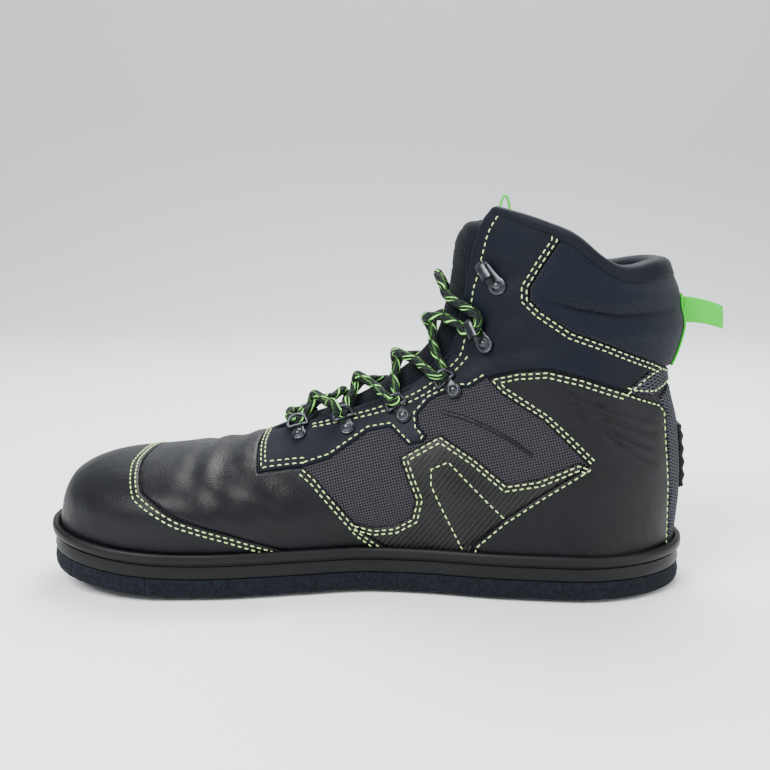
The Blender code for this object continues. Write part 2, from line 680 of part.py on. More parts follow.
def closed_sheet(name, outer, inner, finish):
    """Solid between two grids of points, closed by a rim on each side."""
    rows, columns = outer.shape[:2]
    size = rows * columns
    faces = grid_faces(rows, columns, 0) + grid_faces(rows, columns, size, flip=True)
    edge = [(row, 0) for row in range(rows)]
    edge += [(rows - 1, place) for place in range(1, columns)]
    edge += [(row, columns - 1) for row in range(rows - 2, -1, -1)]
    edge += [(0, place) for place in range(columns - 2, 0, -1)]
    loop = [row * columns + place for row, place in edge]
    for place, near in enumerate(loop):
        far = loop[(place + 1) % len(loop)]
        faces.append((far, near, near + size, far + size))
    points = np.concatenate([outer.reshape(-1, 3), inner.reshape(-1, 3)])
    return keep(name, mesh_of(name, points, faces), finish)


def build_tongue():
    """Padded tongue: it bridges the throat and tucks under the wall of the upper."""
    sections = np.concatenate([np.linspace(TONGUE_FOOT, LAST_SECTION, 15), [LAST_SECTION]])
    across = np.linspace(-1, 1, 11)
    grid_s, grid_a = np.meshgrid(sections, across, indexing="ij")
    width = TONGUE_WIDTH / 2 * np.clip(0.6 + 0.1 * (grid_s - TONGUE_FOOT), 0, 1)
    width[-1] = 0.82 * width[-1]
    half = np.abs(grid_a) * width
    climb = climb_at(grid_s, half)
    turn = np.where(grid_a < 0, climb, 2 - climb)
    gap = throat_half(grid_s)
    bridge = 1 - np.clip(half / np.maximum(BRIDGE_SPAN * gap, CLEARANCE), 0, 1) ** 2
    bridge = bridge * np.clip(2 * gap / THROAT_GAP - 0.4, 0, 1)
    depth = (WALL + TONGUE_TUCK) * (1 - bridge) + CLEARANCE
    up = np.clip((grid_s - TONGUE_FOOT) / (LAST_SECTION - TONGUE_FOOT), 0, 1)
    thick = TONGUE_THICKNESS + (TONGUE_TOP_THICKNESS - TONGUE_THICKNESS) * up ** 2
    thick = thick - (thick - TONGUE_THICKNESS) * grid_a ** 2
    bend = np.clip((grid_s - TONGUE_BEND) / (LAST_SECTION - TONGUE_BEND), 0, 1)
    depth = depth + TONGUE_LEAN * bend ** 2 * (1 - grid_a ** 2)
    outer, inner = shell(grid_s, turn, -depth - thick, thick)
    top = outer[-1] - outer[-3]
    rise = TONGUE_STAND * top / np.linalg.norm(top, axis=-1, keepdims=True)
    outer[-1] += rise
    inner[-1] += rise
    inner[-1, :, 2] = np.maximum(inner[-1, :, 2], outer[-1, :, 2] - TONGUE_STAND / 4)
    closed_sheet("tongue", outer, inner, FINISHES["lining"])
    middle = len(across) // 2
    build_tongue_loop(outer[-1, middle], inner[-1, middle])


def ribbon(path, across, thickness):
    """Outer and inner grids of a webbing strip: path along its middle, across its half width."""
    path = np.asarray(path, float)
    ahead = np.gradient(path, axis=0)
    normal = np.cross(ahead, across)
    normal = normal / np.linalg.norm(normal, axis=1, keepdims=True)
    edges = np.stack([path - across, path + across], 1)
    lift = np.expand_dims(normal * thickness / 2, 1)
    return edges + lift, edges - lift


def build_tongue_loop(front, back):
    """Webbing loop that stands on the top of the tongue, between its front and back edges."""
    swing = np.linspace(-1, 1, 9)
    share = 0.4 + 0.4 * np.sin(swing * HALF_PI)
    path = front + (back - front) * share[:, None]
    path[:, 2] = front[2] + 3 * CLEARANCE + TONGUE_LOOP_HEIGHT * np.cos(swing * HALF_PI)
    across = np.array([0, TONGUE_LOOP_WIDTH / 2, 0])
    outer, inner = ribbon(path, across, LOOP_THICKNESS)
    closed_sheet("tongue_loop", outer, inner, FINISHES["loop"])


def over_pad(points):
    """Lift of what lies on the collar pad."""
    return pad_thickness(points) + 2 * CLEARANCE


def build_heel():
    """Lug low on the heel, and a pull loop on a tape down the back of the pad."""
    lug_lift = 2 * CLEARANCE + OVERLAY_THICKNESS
    lug = wall("heel_lug", HEEL_SECTION, 13, lug_lift, LUG_THICKNESS)
    lug = keep("heel_lug", lug, FINISHES["rubber"])
    outline = [side_view(Corner(*corner)) for corner in HEEL_LUG]
    half = LUG_WIDTH / 2
    combine(lug, "INTERSECT", prism("lug_outline", outline, -half, half))

    tape = keep("heel_loop", wall("heel_loop", 12, LAST_SECTION, over_pad, LOOP_THICKNESS),
                FINISHES["loop"])
    outline = [side_view(Corner(*corner)) for corner in HEEL_TAPE]
    half = TAPE_WIDTH / 2
    combine(tape, "INTERSECT", prism("tape_outline", outline, -half, half))
    top = outline[-1][1] - HEEL_LOOP_WIDTH / 2
    sections = np.linspace(13, LAST_SECTION, 41)
    back = form(sections, 0)
    root = back[np.argmin(np.abs(back[:, 2] - top))]
    seat = root[0] + float(over_pad(root)) + LOOP_THICKNESS / 2
    swing = np.linspace(-1, 1, 11)
    reach = np.cos(swing * HALF_PI)
    path = np.stack([
        seat - CLEARANCE + HEEL_LOOP_REACH * reach, HEEL_LOOP_SPAN / 2 * np.sin(swing * HALF_PI),
        top - HEEL_LOOP_DROP * reach], -1)
    across = np.array([0, 0, HEEL_LOOP_WIDTH / 2])
    outer, inner = ribbon(path, across, LOOP_THICKNESS)
    loop = closed_sheet("heel_loop_band", outer, inner, FINISHES["loop"])
    BOOT.objects.unlink(loop)
    CUTTERS.objects.link(loop)
    loop.hide_render = True
    combine(tape, "UNION", loop)


def fitting_place(section, side, turn=0.0):
    """Frame on the overlay at a section: X towards the throat, Z outwards."""
    climb = climb_at(section, throat_half(section) + RIVET_INSET)
    step = 0.004
    at = climb if side == "medial" else 2 - climb
    ahead = at + step if side == "medial" else at - step
    point = Vector(form(section, at))
    normal = Vector(outward(section, at))
    across = Vector(form(section, ahead)) - point
    across = (across - across.dot(normal) * normal).normalized()
    lift = 2 * CLEARANCE + OVERLAY_THICKNESS
    place = Matrix.Translation(point + lift * normal)
    basis = Matrix((across, normal.cross(across), normal)).transposed().to_4x4()
    sign = -1 if side == "medial" else 1
    return place @ basis @ Matrix.Rotation(sign * radians(turn), 4, "Z")


def turned(name, profile, sides):
    """Cutter solid turned round Z from a profile of (radius, height)."""
    mesh = bpy.data.meshes.new(name)
    rim = [(radius * cos(2 * pi * side / sides), radius * sin(2 * pi * side / sides), height)
           for radius, height in profile[:-1] for side in range(sides)]
    top = len(rim)
    faces = [tuple(range(sides))[::-1]]
    for level in range(len(profile) - 2):
        for side in range(sides):
            near = level * sides + side
            far = level * sides + (side + 1) % sides
            faces.append((near, far, far + sides, near + sides))
    faces += [(top - sides + side, top - sides + (side + 1) % sides, top) for side in range(sides)]
    mesh.from_pydata(rim + [(0, 0, profile[-1][1])], [], faces)
    solid = bpy.data.objects.new(name, mesh)
    CUTTERS.objects.link(solid)
    solid.hide_render = True
    return solid


def plate(name, radius, nose, nose_half, thickness):
    """Cutter solid: a flat tongue, round at the rivet and narrowing to its nose."""
    angles = np.linspace(radians(55), radians(305), 9)
    outline = [(radius * cos(angle), radius * sin(angle)) for angle in angles]
    outline += [(nose, -nose_half), (nose, nose_half)]
    curve = bpy.data.curves.new(name, "CURVE")
    curve.dimensions = "2D"
    curve.fill_mode = "BOTH"
    curve.extrude = thickness / 2
    spline = curve.splines.new("POLY")
    spline.points.add(len(outline) - 1)
    for point, (x, y) in zip(spline.points, outline):
        point.co = (x, y, 0, 1)
    spline.use_cyclic_u = True
    return solid_of(name, curve, Matrix.Translation((0, 0, thickness / 2)))


def tube(name, path, diameter, cyclic=False):
    """Cutter solid: a round wire or lace along a path."""
    curve = bpy.data.curves.new(name, "CURVE")
    curve.dimensions = "3D"
    curve.bevel_depth = diameter / 2
    curve.bevel_resolution = 0 if cyclic else 2
    curve.use_fill_caps = True
    spline = curve.splines.new("POLY")
    spline.points.add(len(path) - 1)
    for point, co in zip(spline.points, path):
        point.co = (*co, 1)
    spline.use_cyclic_u = cyclic
    return solid_of(name, curve, Matrix())


def joined(name, parts):
    """Mesh of the union of cutter solids."""
    whole = parts[0]
    for other in parts[1:]:
        combine(whole, "UNION", other)
    bpy.context.view_layer.update()
    graph = bpy.context.evaluated_depsgraph_get()
    mesh = bpy.data.meshes.new_from_object(whole.evaluated_get(graph))
    mesh.name = name
    return mesh


def rivet(name):
    """Domed rivet head that stands on a plate."""
    radius = RIVET_DIAMETER / 2
    foot = PLATE_THICKNESS / 2
    return turned(name, [
        (radius, foot), (radius, PLATE_THICKNESS + 0.3 * RIVET_STAND),
        (0.7 * radius, PLATE_THICKNESS + 0.8 * RIVET_STAND),
        (0, PLATE_THICKNESS + RIVET_STAND)], 8)


def ring_mesh():
    """Ring eyelet: a riveted strap with a wire ring that stands up from its end."""
    strap = plate("ring_strap", RING_PLATE_WIDTH / 2, RING_REACH, 0.4 * RING_PLATE_WIDTH,
                  PLATE_THICKNESS)
    half = (RING_WIDTH - RING_WIRE) / 2
    swing = np.linspace(-1, 1, 8)
    depth = (RING_LENGTH - RING_WIRE) * np.cos(swing * HALF_PI) ** 0.7
    x = RING_REACH + depth * cos(RING_TILT)
    z = RING_WIRE / 2 + CLEARANCE + depth * sin(RING_TILT)
    loop = tube("ring_wire", np.stack([x, half * np.sin(swing * HALF_PI), z], -1), RING_WIRE, True)
    return joined("ring_eyelet", [strap, rivet("ring_rivet"), loop])


def hook_mesh():
    """Speed hook: a riveted plate whose nose rises and curls back over it."""
    base = plate("hook_plate", HOOK_PLATE_WIDTH / 2, HOOK_REACH - HOOK_GAUGE, HOOK_WIDTH / 2,
                 PLATE_THICKNESS)
    outside = [
        (HOOK_REACH - 3 * HOOK_GAUGE, 0.2 * PLATE_THICKNESS), (HOOK_REACH, 0.2 * PLATE_THICKNESS),
        (HOOK_REACH + HOOK_GAUGE, 0.5 * HOOK_STAND), (HOOK_REACH, 0.9 * HOOK_STAND),
        (HOOK_REACH - 2 * HOOK_GAUGE, HOOK_STAND),
        (HOOK_REACH - HOOK_RETURN, HOOK_STAND + HOOK_GAUGE)]
    inside = [
        (HOOK_REACH - HOOK_RETURN, HOOK_STAND), (HOOK_REACH - 2 * HOOK_GAUGE, HOOK_STAND - HOOK_GAUGE),
        (HOOK_REACH - HOOK_GAUGE, 0.5 * HOOK_STAND), (HOOK_REACH - 2 * HOOK_GAUGE, PLATE_THICKNESS)]
    nose = prism("hook_nose", outside + inside, -HOOK_WIDTH / 2, HOOK_WIDTH / 2)
    return joined("speed_hook", [base, rivet("hook_rivet"), nose])


def build_fittings():
    """Ring eyelets and speed hooks on both sides of the throat."""
    meshes = {"ring": ring_mesh(), "hook": hook_mesh()}
    for mesh in meshes.values():
        mesh.materials.clear()
        mesh.materials.append(FINISHES["gunmetal"])
        mesh.shade_smooth()
        mesh.set_sharp_from_angle(angle=SHARP_ANGLE)
    for fitting in FITTINGS:
        for side in ("medial", "lateral"):
            piece = bpy.data.objects.new(fitting.name + "_" + side, meshes[fitting.kind])
            BOOT.objects.link(piece)
            piece.matrix_world = fitting_place(fitting.section, side, fitting.turn)


def lace_seat(fitting, side, above):
    """Where a lace meets a fitting: just inside a ring, or before the nose of a hook.

    above is 1 for a lace that leaves up the shaft and -1 for one that comes from below.
    """
    place = fitting_place(fitting.section, side, fitting.turn)
    ahead = Vector(form(fitting.section + 0.1, 1)) - Vector(form(fitting.section, 1))
    up = above if place.col[1].to_3d().dot(ahead) > 0 else -above
    if fitting.kind == "hook":
        ahead = HOOK_REACH + HOOK_GAUGE + LACE_DIAMETER / 2 + CLEARANCE
        return place @ Vector((ahead, up * LACE_ASIDE, LACE_DIAMETER / 2 + LACE_SEAT))
    share = LACE_ASIDE / ((RING_WIDTH - RING_WIRE) / 2)
    depth = (RING_LENGTH - RING_WIRE) * (1 - share ** 2) ** 0.35
    x = RING_REACH + depth * cos(RING_TILT) + RING_WIRE / 2 + LACE_SEAT
    return place @ Vector((x, up * LACE_ASIDE, RING_WIRE + depth * sin(RING_TILT)))


def lace_path(start, end, above, rise=0.0):
    """Middle line of a lace over the tongue, from a medial fitting to a lateral one."""
    swing = np.linspace(-1, 1, LACE_POINTS)
    low, high = (fitting.section + LACE_SPREAD * way for fitting, way in zip((start, end), above))
    sections = low + (high - low) * (swing + 1) / 2 + rise * np.cos(swing * HALF_PI)
    reach = throat_half(np.where(swing < 0, low, high)) - LACE_END
    climb = climb_at(sections, np.abs(swing) * reach)
    turn = np.where(swing < 0, climb, 2 - climb)
    lift = 3 * CLEARANCE + OVERLAY_THICKNESS + LACE_DIAMETER / 2
    lift = lift + LACE_RISE * np.cos(swing * HALF_PI)
    path = form(sections, turn) + outward(sections, turn) * lift[:, None]
    first = np.array(lace_seat(start, "medial", above[0])) - path[0]
    last = np.array(lace_seat(end, "lateral", above[1])) - path[-1]
    near = np.abs(swing[:, None]) ** 2
    return path + near * np.where(swing[:, None] < 0, first, last)


def build_lace():
    """Lace over the tongue: a bar, crossings from each pair of eyelets to the next, a top bar."""
    laced = FITTINGS[:LACED]
    bar = tube("lace_bar_foot", lace_path(laced[0], laced[0], (-1, -1)), LACE_DIAMETER)
    keep("lace_bar_1", joined("lace_bar_1", [bar]), FINISHES["lace"])
    for place, (low, high) in enumerate(zip(laced[:-1], laced[1:]), 1):
        name = "lace_crossing_%d" % place
        over = tube(name + "_over", lace_path(low, high, (1, -1)), LACE_DIAMETER)
        under = tube(name + "_under", lace_path(high, low, (-1, 1)), LACE_DIAMETER)
        keep(name, joined(name, [over, under]), FINISHES["lace"])
    top = laced[-1]
    bar = tube("lace_bar_top", lace_path(top, top, (1, 1), TOP_BAR_RISE), LACE_DIAMETER)
    keep("lace_bar_2", joined("lace_bar_2", [bar]), FINISHES["lace"])


def build_studs():
    """Steel studs: a turned flange and pin each, seated on the felt and square to it."""
    flange = FLANGE_STAND - CLEARANCE
    radius = STUD_DIAMETER / 2
    pin = PIN_DIAMETER / 2
    profile = [
        (0, 0), (radius, 0), (radius, -0.6 * flange), (radius - 0.0005, -flange), (pin, -flange),
        (pin - 0.0003, CLEARANCE - STUD_STAND), (0, CLEARANCE - STUD_STAND)]
    mesh = bpy.data.meshes.new("stud")
    steps = range(len(profile))
    mesh.from_pydata([(r, 0, z) for r, z in profile], [(step, step + 1) for step in steps[:-1]], [])
    mesh.materials.append(FINISHES["steel"])
    for stud in STUDS:
        x = outline_x(stud.along, 0)
        slope = (spring(x + CLEARANCE) - spring(x)) / CLEARANCE
        level = FELT_BASE + spring(x) - CLEARANCE
        piece = bpy.data.objects.new(stud.name, mesh)
        BOOT.objects.link(piece)
        turn = Matrix.Rotation(-np.arctan(slope), 4, "Y")
        piece.matrix_world = Matrix.Translation((x, -stud.medial * BALL_WIDTH, level)) @ turn
        screw = piece.modifiers.new("turned", "SCREW")
        screw.steps = STUD_SIDES
        screw.render_steps = STUD_SIDES
        screw.use_merge_vertices = True
        screw.merge_threshold = 0.00001
    mesh.shade_smooth()
    mesh.set_sharp_from_angle(angle=SHARP_ANGLE)


def seat_on_origin():
    """Move every piece so that the origin is under the middle of the boot, on the floor."""
    bpy.context.view_layer.update()
    graph = bpy.context.evaluated_depsgraph_get()
    corners = []
    for piece in BOOT.objects:
        shown = piece.evaluated_get(graph)
        corners += [piece.matrix_world @ Vector(corner) for corner in shown.bound_box]
    low = [min(corner[axis] for corner in corners) for axis in range(3)]
    high = [max(corner[axis] for corner in corners) for axis in range(3)]
    middle = Vector(((low[0] + high[0]) / 2, (low[1] + high[1]) / 2, low[2]))
    for piece in list(BOOT.objects) + list(CUTTERS.objects):
        piece.matrix_world = Matrix.Translation(-middle) @ piece.matrix_world


for old in list(bpy.data.objects):
    bpy.data.objects.remove(old)
BOOT = bpy.data.collections.new("wading_boot")
CUTTERS = bpy.data.collections.new("cutters")
bpy.context.scene.collection.children.link(BOOT)
bpy.context.scene.collection.children.link(CUTTERS)

FINISHES = {
    "felt": material("felt", (0.012, 0.015, 0.022), 0.95),
    "rubber": material("rubber", (0.018, 0.020, 0.022), 0.6),
    "base": material("base", (0.014, 0.016, 0.020), 0.8),
    "nubuck": material("nubuck", (0.010, 0.017, 0.032), 0.75),
    "leather": material("leather", (0.030, 0.036, 0.044), 0.6),
    "ribbed": material("ribbed", (0.035, 0.039, 0.036), 0.65),
    "padding": material("padding", (0.014, 0.016, 0.024), 0.95),
    "lining": material("lining", (0.012, 0.013, 0.018), 0.9),
    "webbing": material("webbing", (0.060, 0.062, 0.066), 0.85),
    "loop": material("loop", (0.130, 0.620, 0.200), 0.7),
    "lace": material("lace", (0.020, 0.045, 0.030), 0.8),
    "steel": material("steel", (0.62, 0.63, 0.64), 0.3, 1.0),
    "gunmetal": material("gunmetal", (0.20, 0.21, 0.22), 0.35, 1.0),
}

build_sole()
build_upper()
build_tongue()
build_overlays()
build_heel()
build_fittings()
build_lace()
build_studs()
seat_on_origin()
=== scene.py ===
"""Studio picture of the right-hand wading boot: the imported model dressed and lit.

Every soft piece is worked out on the boot's last. Last.skin() gives its surface from a section,
counted from toe to collar, and a climb, from 0 at the sole to 1 at the edge of the throat.
"""

import logging
from collections import namedtuple
from dataclasses import dataclass, field
from enum import Enum
from math import cos, pi, radians, sin

import bmesh
import bpy
import numpy as np
from mathutils import Matrix, Vector
from mathutils.geometry import delaunay_2d_cdt


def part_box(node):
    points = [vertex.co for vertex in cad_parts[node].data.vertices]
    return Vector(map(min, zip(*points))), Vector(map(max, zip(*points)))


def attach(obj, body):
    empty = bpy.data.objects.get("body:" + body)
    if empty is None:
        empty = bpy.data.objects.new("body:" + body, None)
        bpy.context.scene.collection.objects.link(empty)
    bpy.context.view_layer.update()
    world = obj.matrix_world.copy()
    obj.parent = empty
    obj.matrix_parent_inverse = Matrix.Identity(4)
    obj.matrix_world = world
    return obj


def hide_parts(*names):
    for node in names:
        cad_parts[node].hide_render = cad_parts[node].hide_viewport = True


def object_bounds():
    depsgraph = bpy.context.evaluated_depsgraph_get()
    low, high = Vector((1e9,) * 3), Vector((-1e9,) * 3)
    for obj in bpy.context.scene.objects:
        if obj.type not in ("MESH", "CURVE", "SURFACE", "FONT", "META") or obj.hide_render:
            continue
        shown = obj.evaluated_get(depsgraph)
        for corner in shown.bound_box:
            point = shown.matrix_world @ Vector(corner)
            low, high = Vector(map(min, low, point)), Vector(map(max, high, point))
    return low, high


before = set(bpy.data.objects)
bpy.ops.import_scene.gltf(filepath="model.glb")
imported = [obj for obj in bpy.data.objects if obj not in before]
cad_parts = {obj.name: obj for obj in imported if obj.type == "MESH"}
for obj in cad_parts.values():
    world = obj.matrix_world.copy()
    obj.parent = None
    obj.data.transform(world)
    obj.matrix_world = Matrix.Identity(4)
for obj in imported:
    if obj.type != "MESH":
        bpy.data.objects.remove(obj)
LOADED_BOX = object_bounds()

LOG = logging.getLogger("wading_boot")
Socket = bpy.types.NodeSocket
Tree = bpy.types.NodeTree
Piece = bpy.types.Object
Array = np.ndarray

# Least divisor at the corner of an offset line, which limits how far a mitre reaches
MITRE_LIMIT = 0.35
# Step in section and turn over which the slopes of the form are taken
SLOPE_STEP = 0.004
# Least half width that another is divided by, and the least depth of the tongue
SLIVER = 0.0003
# Rows of sections that a side view point is looked up in
LOOKUP_ROWS = 751
# Halvings by which the end of a line on the form is found
HALVINGS = 14
# Angle between faces in degrees, over which their edge is drawn sharp
SHARP_ANGLE = 50
# Points of a smooth curve for each of its control points
CURVE_POINTS = 12

# Sole outline at every tenth of the length from toe to heel, in shares of the ball width
Outline = namedtuple("Outline", "half lean")
OUTLINE = [Outline(*row) for row in (
    (0.500, 0.150), (0.500, 0.084), (0.499, 0.038), (0.507, -0.008), (0.468, -0.036),
    (0.412, -0.046), (0.396, -0.024), (0.416, -0.004), (0.420, 0.008), (0.420, 0.006),
    (0.420, 0.000))]

# Sections of the last, fanned from the toe round the instep to the collar
Section = namedtuple(
    "Section", "foot back heel collar crest instep shaft ball ankle belly round lean dip")
SECTIONS = [Section(*row) for row in (
    (0.000, 0.000, 0.00, 0.00, 0.016, 0.117, 0.00, 0.45, 0.00, 0.50, 2.0, 0.13, 0.00),
    (0.016, 0.000, 0.00, 0.00, 0.037, 0.243, 0.00, 0.46, 0.00, 0.45, 2.1, 0.11, 0.00),
    (0.060, 0.000, 0.00, 0.00, 0.090, 0.330, 0.00, 0.475, 0.00, 0.40, 2.2, 0.09, 0.00),
    (0.148, 0.000, 0.00, 0.00, 0.178, 0.385, 0.00, 0.49, 0.00, 0.38, 2.1, 0.07, 0.00),
    (0.260, 0.000, 0.00, 0.00, 0.269, 0.440, 0.00, 0.495, 0.00, 0.34, 2.0, 0.06, 0.00),
    (0.365, 0.000, 0.00, 0.00, 0.344, 0.500, 0.00, 0.47, 0.00, 0.30, 1.8, 0.05, 0.00),
    (0.500, 0.000, 0.00, 0.00, 0.419, 0.612, 0.00, 0.41, 0.00, 0.26, 1.65, 0.04, 0.00),
    (0.654, 0.000, 0.00, 0.00, 0.500, 0.728, 0.00, 0.372, 0.00, 0.26, 1.6, 0.03, 0.00),
    (0.812, 0.000, 0.00, 0.00, 0.562, 0.854, 0.00, 0.372, 0.00, 0.30, 1.6, 0.02, 0.00),
    (0.940, 0.000, 0.00, 0.00, 0.606, 1.000, 0.00, 0.367, 0.00, 0.36, 1.7, 0.01, 0.00),
    (1.000, 0.000, 0.00, 0.00, 0.619, 1.000, 0.19, 0.00, 0.512, 0.40, 1.8, 0.00, 0.00),
    (1.000, 0.006, 0.48, 0.00, 0.628, 1.000, 0.39, 0.00, 0.506, 0.42, 1.9, 0.00, 0.00),
    (1.000, -0.001, 1.00, 0.00, 0.632, 1.000, 0.56, 0.00, 0.488, 0.42, 2.0, 0.00, 0.012),
    (1.000, -0.018, 1.00, 0.32, 0.636, 1.000, 0.73, 0.00, 0.470, 0.42, 2.0, 0.00, 0.030),
    (1.000, -0.010, 1.00, 0.69, 0.646, 1.000, 0.89, 0.00, 0.488, 0.42, 2.0, 0.00, 0.055),
    (1.000, -0.034, 1.00, 1.00, 0.668, 1.000, 1.00, 0.00, 0.494, 0.42, 2.0, 0.00, 0.070))]
COLLAR = len(SECTIONS) - 1
THROAT = 5
HEEL = 10
Fan = namedtuple("Fan", "foot_x foot_z crest_x crest_z foot_half widest belly power foot_lean "
                        "crest_lean dip")

# Borders of the panels in side view: place along the length, and height above the feather edge
# as a share of the shaft height. SUNK is below the lip of the midsole.
SUNK = -0.03
BORDERS = {
    "toe": [(0.394, SUNK), (0.394, 0), (0.312, 0.064), (0.234, 0.116), (0.172, 0.169),
            (0.150, 0.225), (0.147, 0.390)],
    "tip": [(-0.04, 0.390), (-0.04, SUNK)],
    "vamp_foot": [(0.544, SUNK), (0.544, 0), (0.531, 0.017), (0.500, 0.064), (0.491, 0.088)],
    "vamp_top": [(0.491, 0.088), (0.469, 0.136), (0.431, 0.213), (0.412, 0.239)],
    "facing_front": [(0.412, 0.239), (0.397, 0.237), (0.344, 0.225), (0.334, 0.285),
                     (0.331, 0.404)],
    "facing_foot": [(0.412, 0.239), (0.450, 0.261), (0.509, 0.335), (0.541, 0.347),
                    (0.569, 0.302)],
    "window": [(0.594, 0.314), (0.600, 0.332), (0.586, 0.356), (0.584, 0.386), (0.603, 0.427),
               (0.644, 0.466), (0.662, 0.466), (0.688, 0.499)],
    "counter_window": [(0.840, 0.262), (0.803, 0.332), (0.772, 0.386), (0.709, 0.457),
                       (0.688, 0.499)],
    "counter_top": [(0.688, 0.499), (0.734, 0.526), (0.778, 0.535), (0.828, 0.514),
                    (0.892, 0.473)],
    "counter_back": [(0.892, 0.473), (0.948, 0.430), (0.959, 0.404), (0.963, 0.302),
                     (0.969, 0.195), (0.972, 0), (0.972, SUNK)],
    "foxing": [(0.669, SUNK), (0.669, 0.023), (0.716, 0.106), (0.769, 0.177), (0.840, 0.262)],
    "midfoot_top": [(0.840, 0.262), (0.825, 0.273), (0.766, 0.225), (0.719, 0.210),
                    (0.672, 0.279), (0.619, 0.338), (0.556, 0.270), (0.569, 0.207),
                    (0.581, 0.154), (0.575, 0.106), (0.550, 0.079), (0.519, 0.073),
                    (0.491, 0.088)],
    "strap_top": [(0.892, 0.473), (0.928, 0.520), (0.950, 0.536)],
    "strap_foot": [(0.892, 0.473), (0.903, 0.464), (0.938, 0.454), (0.969, 0.475),
                   (1.05, 0.392)],
    "pad_heel": [(0.950, 0.536), (0.969, 0.518), (1.05, 0.451)],
    "pad_front": [(0.950, 0.536), (0.934, 0.552), (0.866, 0.606), (0.812, 0.642),
                  (0.766, 0.701), (0.750, 0.731), (0.750, 0.761), (0.769, 0.826),
                  (0.791, 0.892), (0.791, 1.24)],
    "above_front": [(0.331, 1.24)],
    "above_heel": [(1.05, 1.24)],
    "stay": [(0.948, 0.430), (0.959, 0.404), (0.963, 0.302), (0.969, 0.195), (0.972, SUNK),
             (1.05, SUNK), (1.05, 0.390), (0.969, 0.472), (0.950, 0.448)],
    "inner_u": [(0.716, 0.110), (0.632, 0.262), (0.606, 0.240), (0.606, 0.196), (0.655, 0.010)],
    "seam": [(0.622, 0.398), (0.655, 0.386), (0.692, 0.361), (0.727, 0.328), (0.756, 0.290)],
}

# Creases and embossed streaks, placed in side view
Crease = namedtuple("Crease", "depth width line")
CREASES = [Crease(*row) for row in (
    (0.0036, 0.0042, [(0.762, 0.735), (0.812, 0.707), (0.875, 0.688), (0.985, 0.693)]),
    (0.0014, 0.0013, [(0.770, 0.728), (0.812, 0.707), (0.875, 0.688), (0.955, 0.692)]),
    (0.0012, 0.0052, [(0.790, 0.860), (0.850, 0.800), (0.930, 0.790)]),
    (0.0009, 0.0040, [(0.304, 0.080), (0.268, 0.160), (0.244, 0.215), (0.236, 0.330)]),
    (0.0012, 0.0044, [(0.352, 0.085), (0.316, 0.150), (0.286, 0.220), (0.276, 0.360)]),
    (0.0008, 0.0036, [(0.404, 0.100), (0.372, 0.170), (0.342, 0.205)]),
    (0.0006, 0.0030, [(0.330, 0.195), (0.300, 0.250), (0.300, 0.380)]),
    (0.0015, 0.0046, [(0.612, 0.520), (0.660, 0.562), (0.725, 0.590), (0.790, 0.612)]),
    (0.0014, 0.0042, [(0.630, 0.630), (0.690, 0.650), (0.738, 0.700)]),
    (0.0011, 0.0044, [(0.650, 0.800), (0.706, 0.785), (0.752, 0.835)]),
    (0.0006, 0.0040, [(0.560, 0.400), (0.585, 0.450), (0.630, 0.500)]),
    (0.0007, 0.0012, [(0.690, 0.064), (0.660, 0.020), (0.647, 0.000)]),
    (0.0010, 0.0013, [(0.806, 0.480), (0.850, 0.440), (0.925, 0.395)]),
    (0.0010, 0.0013, [(0.812, 0.452), (0.855, 0.405), (0.935, 0.352)]),
    (0.0010, 0.0013, [(0.822, 0.420), (0.865, 0.366), (0.940, 0.306)]),
    (0.0009, 0.0012, [(0.840, 0.382), (0.880, 0.326), (0.942, 0.262)]))]


def flat_of(points: list, last: "Last") -> Array:
    """Side view places of border points.

    Args:
        points: Pairs of place along the length and height, both shares.
        last: The form, for its sizes.

    Returns:
        One row of X and Z for each point.
    """
    shares = np.array(points, float)
    x = (shares[:, 0] - 0.5) * last.length
    return np.stack([x, last.feather + last.spring(x) + shares[:, 1] * last.shaft_height], -1)


def border(names: list[str]) -> list:
    """Points of borders one after another, each corner once.

    Args:
        names: Keys of BORDERS; a minus sign runs that border backwards.

    Returns:
        Pairs of place along the length and height.
    """
    corners = []
    for name in names:
        line = BORDERS[name.lstrip("-")]
        corners += line[::-1] if name.startswith("-") else line
    return [corner for place, corner in enumerate(corners) if corner != corners[place - 1]]


def distance(points: Array, line: Array) -> tuple[Array, Array]:
    """Distance of points to a polyline: the least distance to any of its segments.

    Args:
        points: Places, the last axis two long.
        line: Corners of the polyline.

    Returns:
        The distance, and how far along the polyline the nearest point is, from 0 to 1.
    """
    nearest = np.full(points.shape[:-1], 1.0)
    along = np.zeros(points.shape[:-1])
    count = len(line) - 1
    for place in range(count):
        run = line[place + 1] - line[place]
        away = points - line[place]
        share = np.clip(away @ run / max(run @ run, 1e-12), 0, 1)
        gap = np.linalg.norm(away - share[..., None] * run, axis=-1)
        closer = gap < nearest
        nearest = np.where(closer, gap, nearest)
        along = np.where(closer, (place + share) / count, along)
    return nearest, along


def within(points: Array, outline: Array) -> Array:
    """Whether points lie in an outline: a level ray from each crosses it an odd number of times."""
    inside = np.zeros(len(points), bool)
    x, z = points[:, 0], points[:, 1]
    for start, end in zip(outline, np.roll(outline, -1, axis=0)):
        spans = (start[1] > z) != (end[1] > z)
        rise = end[1] - start[1] if end[1] != start[1] else 1.0
        inside ^= spans & (x < start[0] + (z - start[1]) * (end[0] - start[0]) / rise)
    return inside


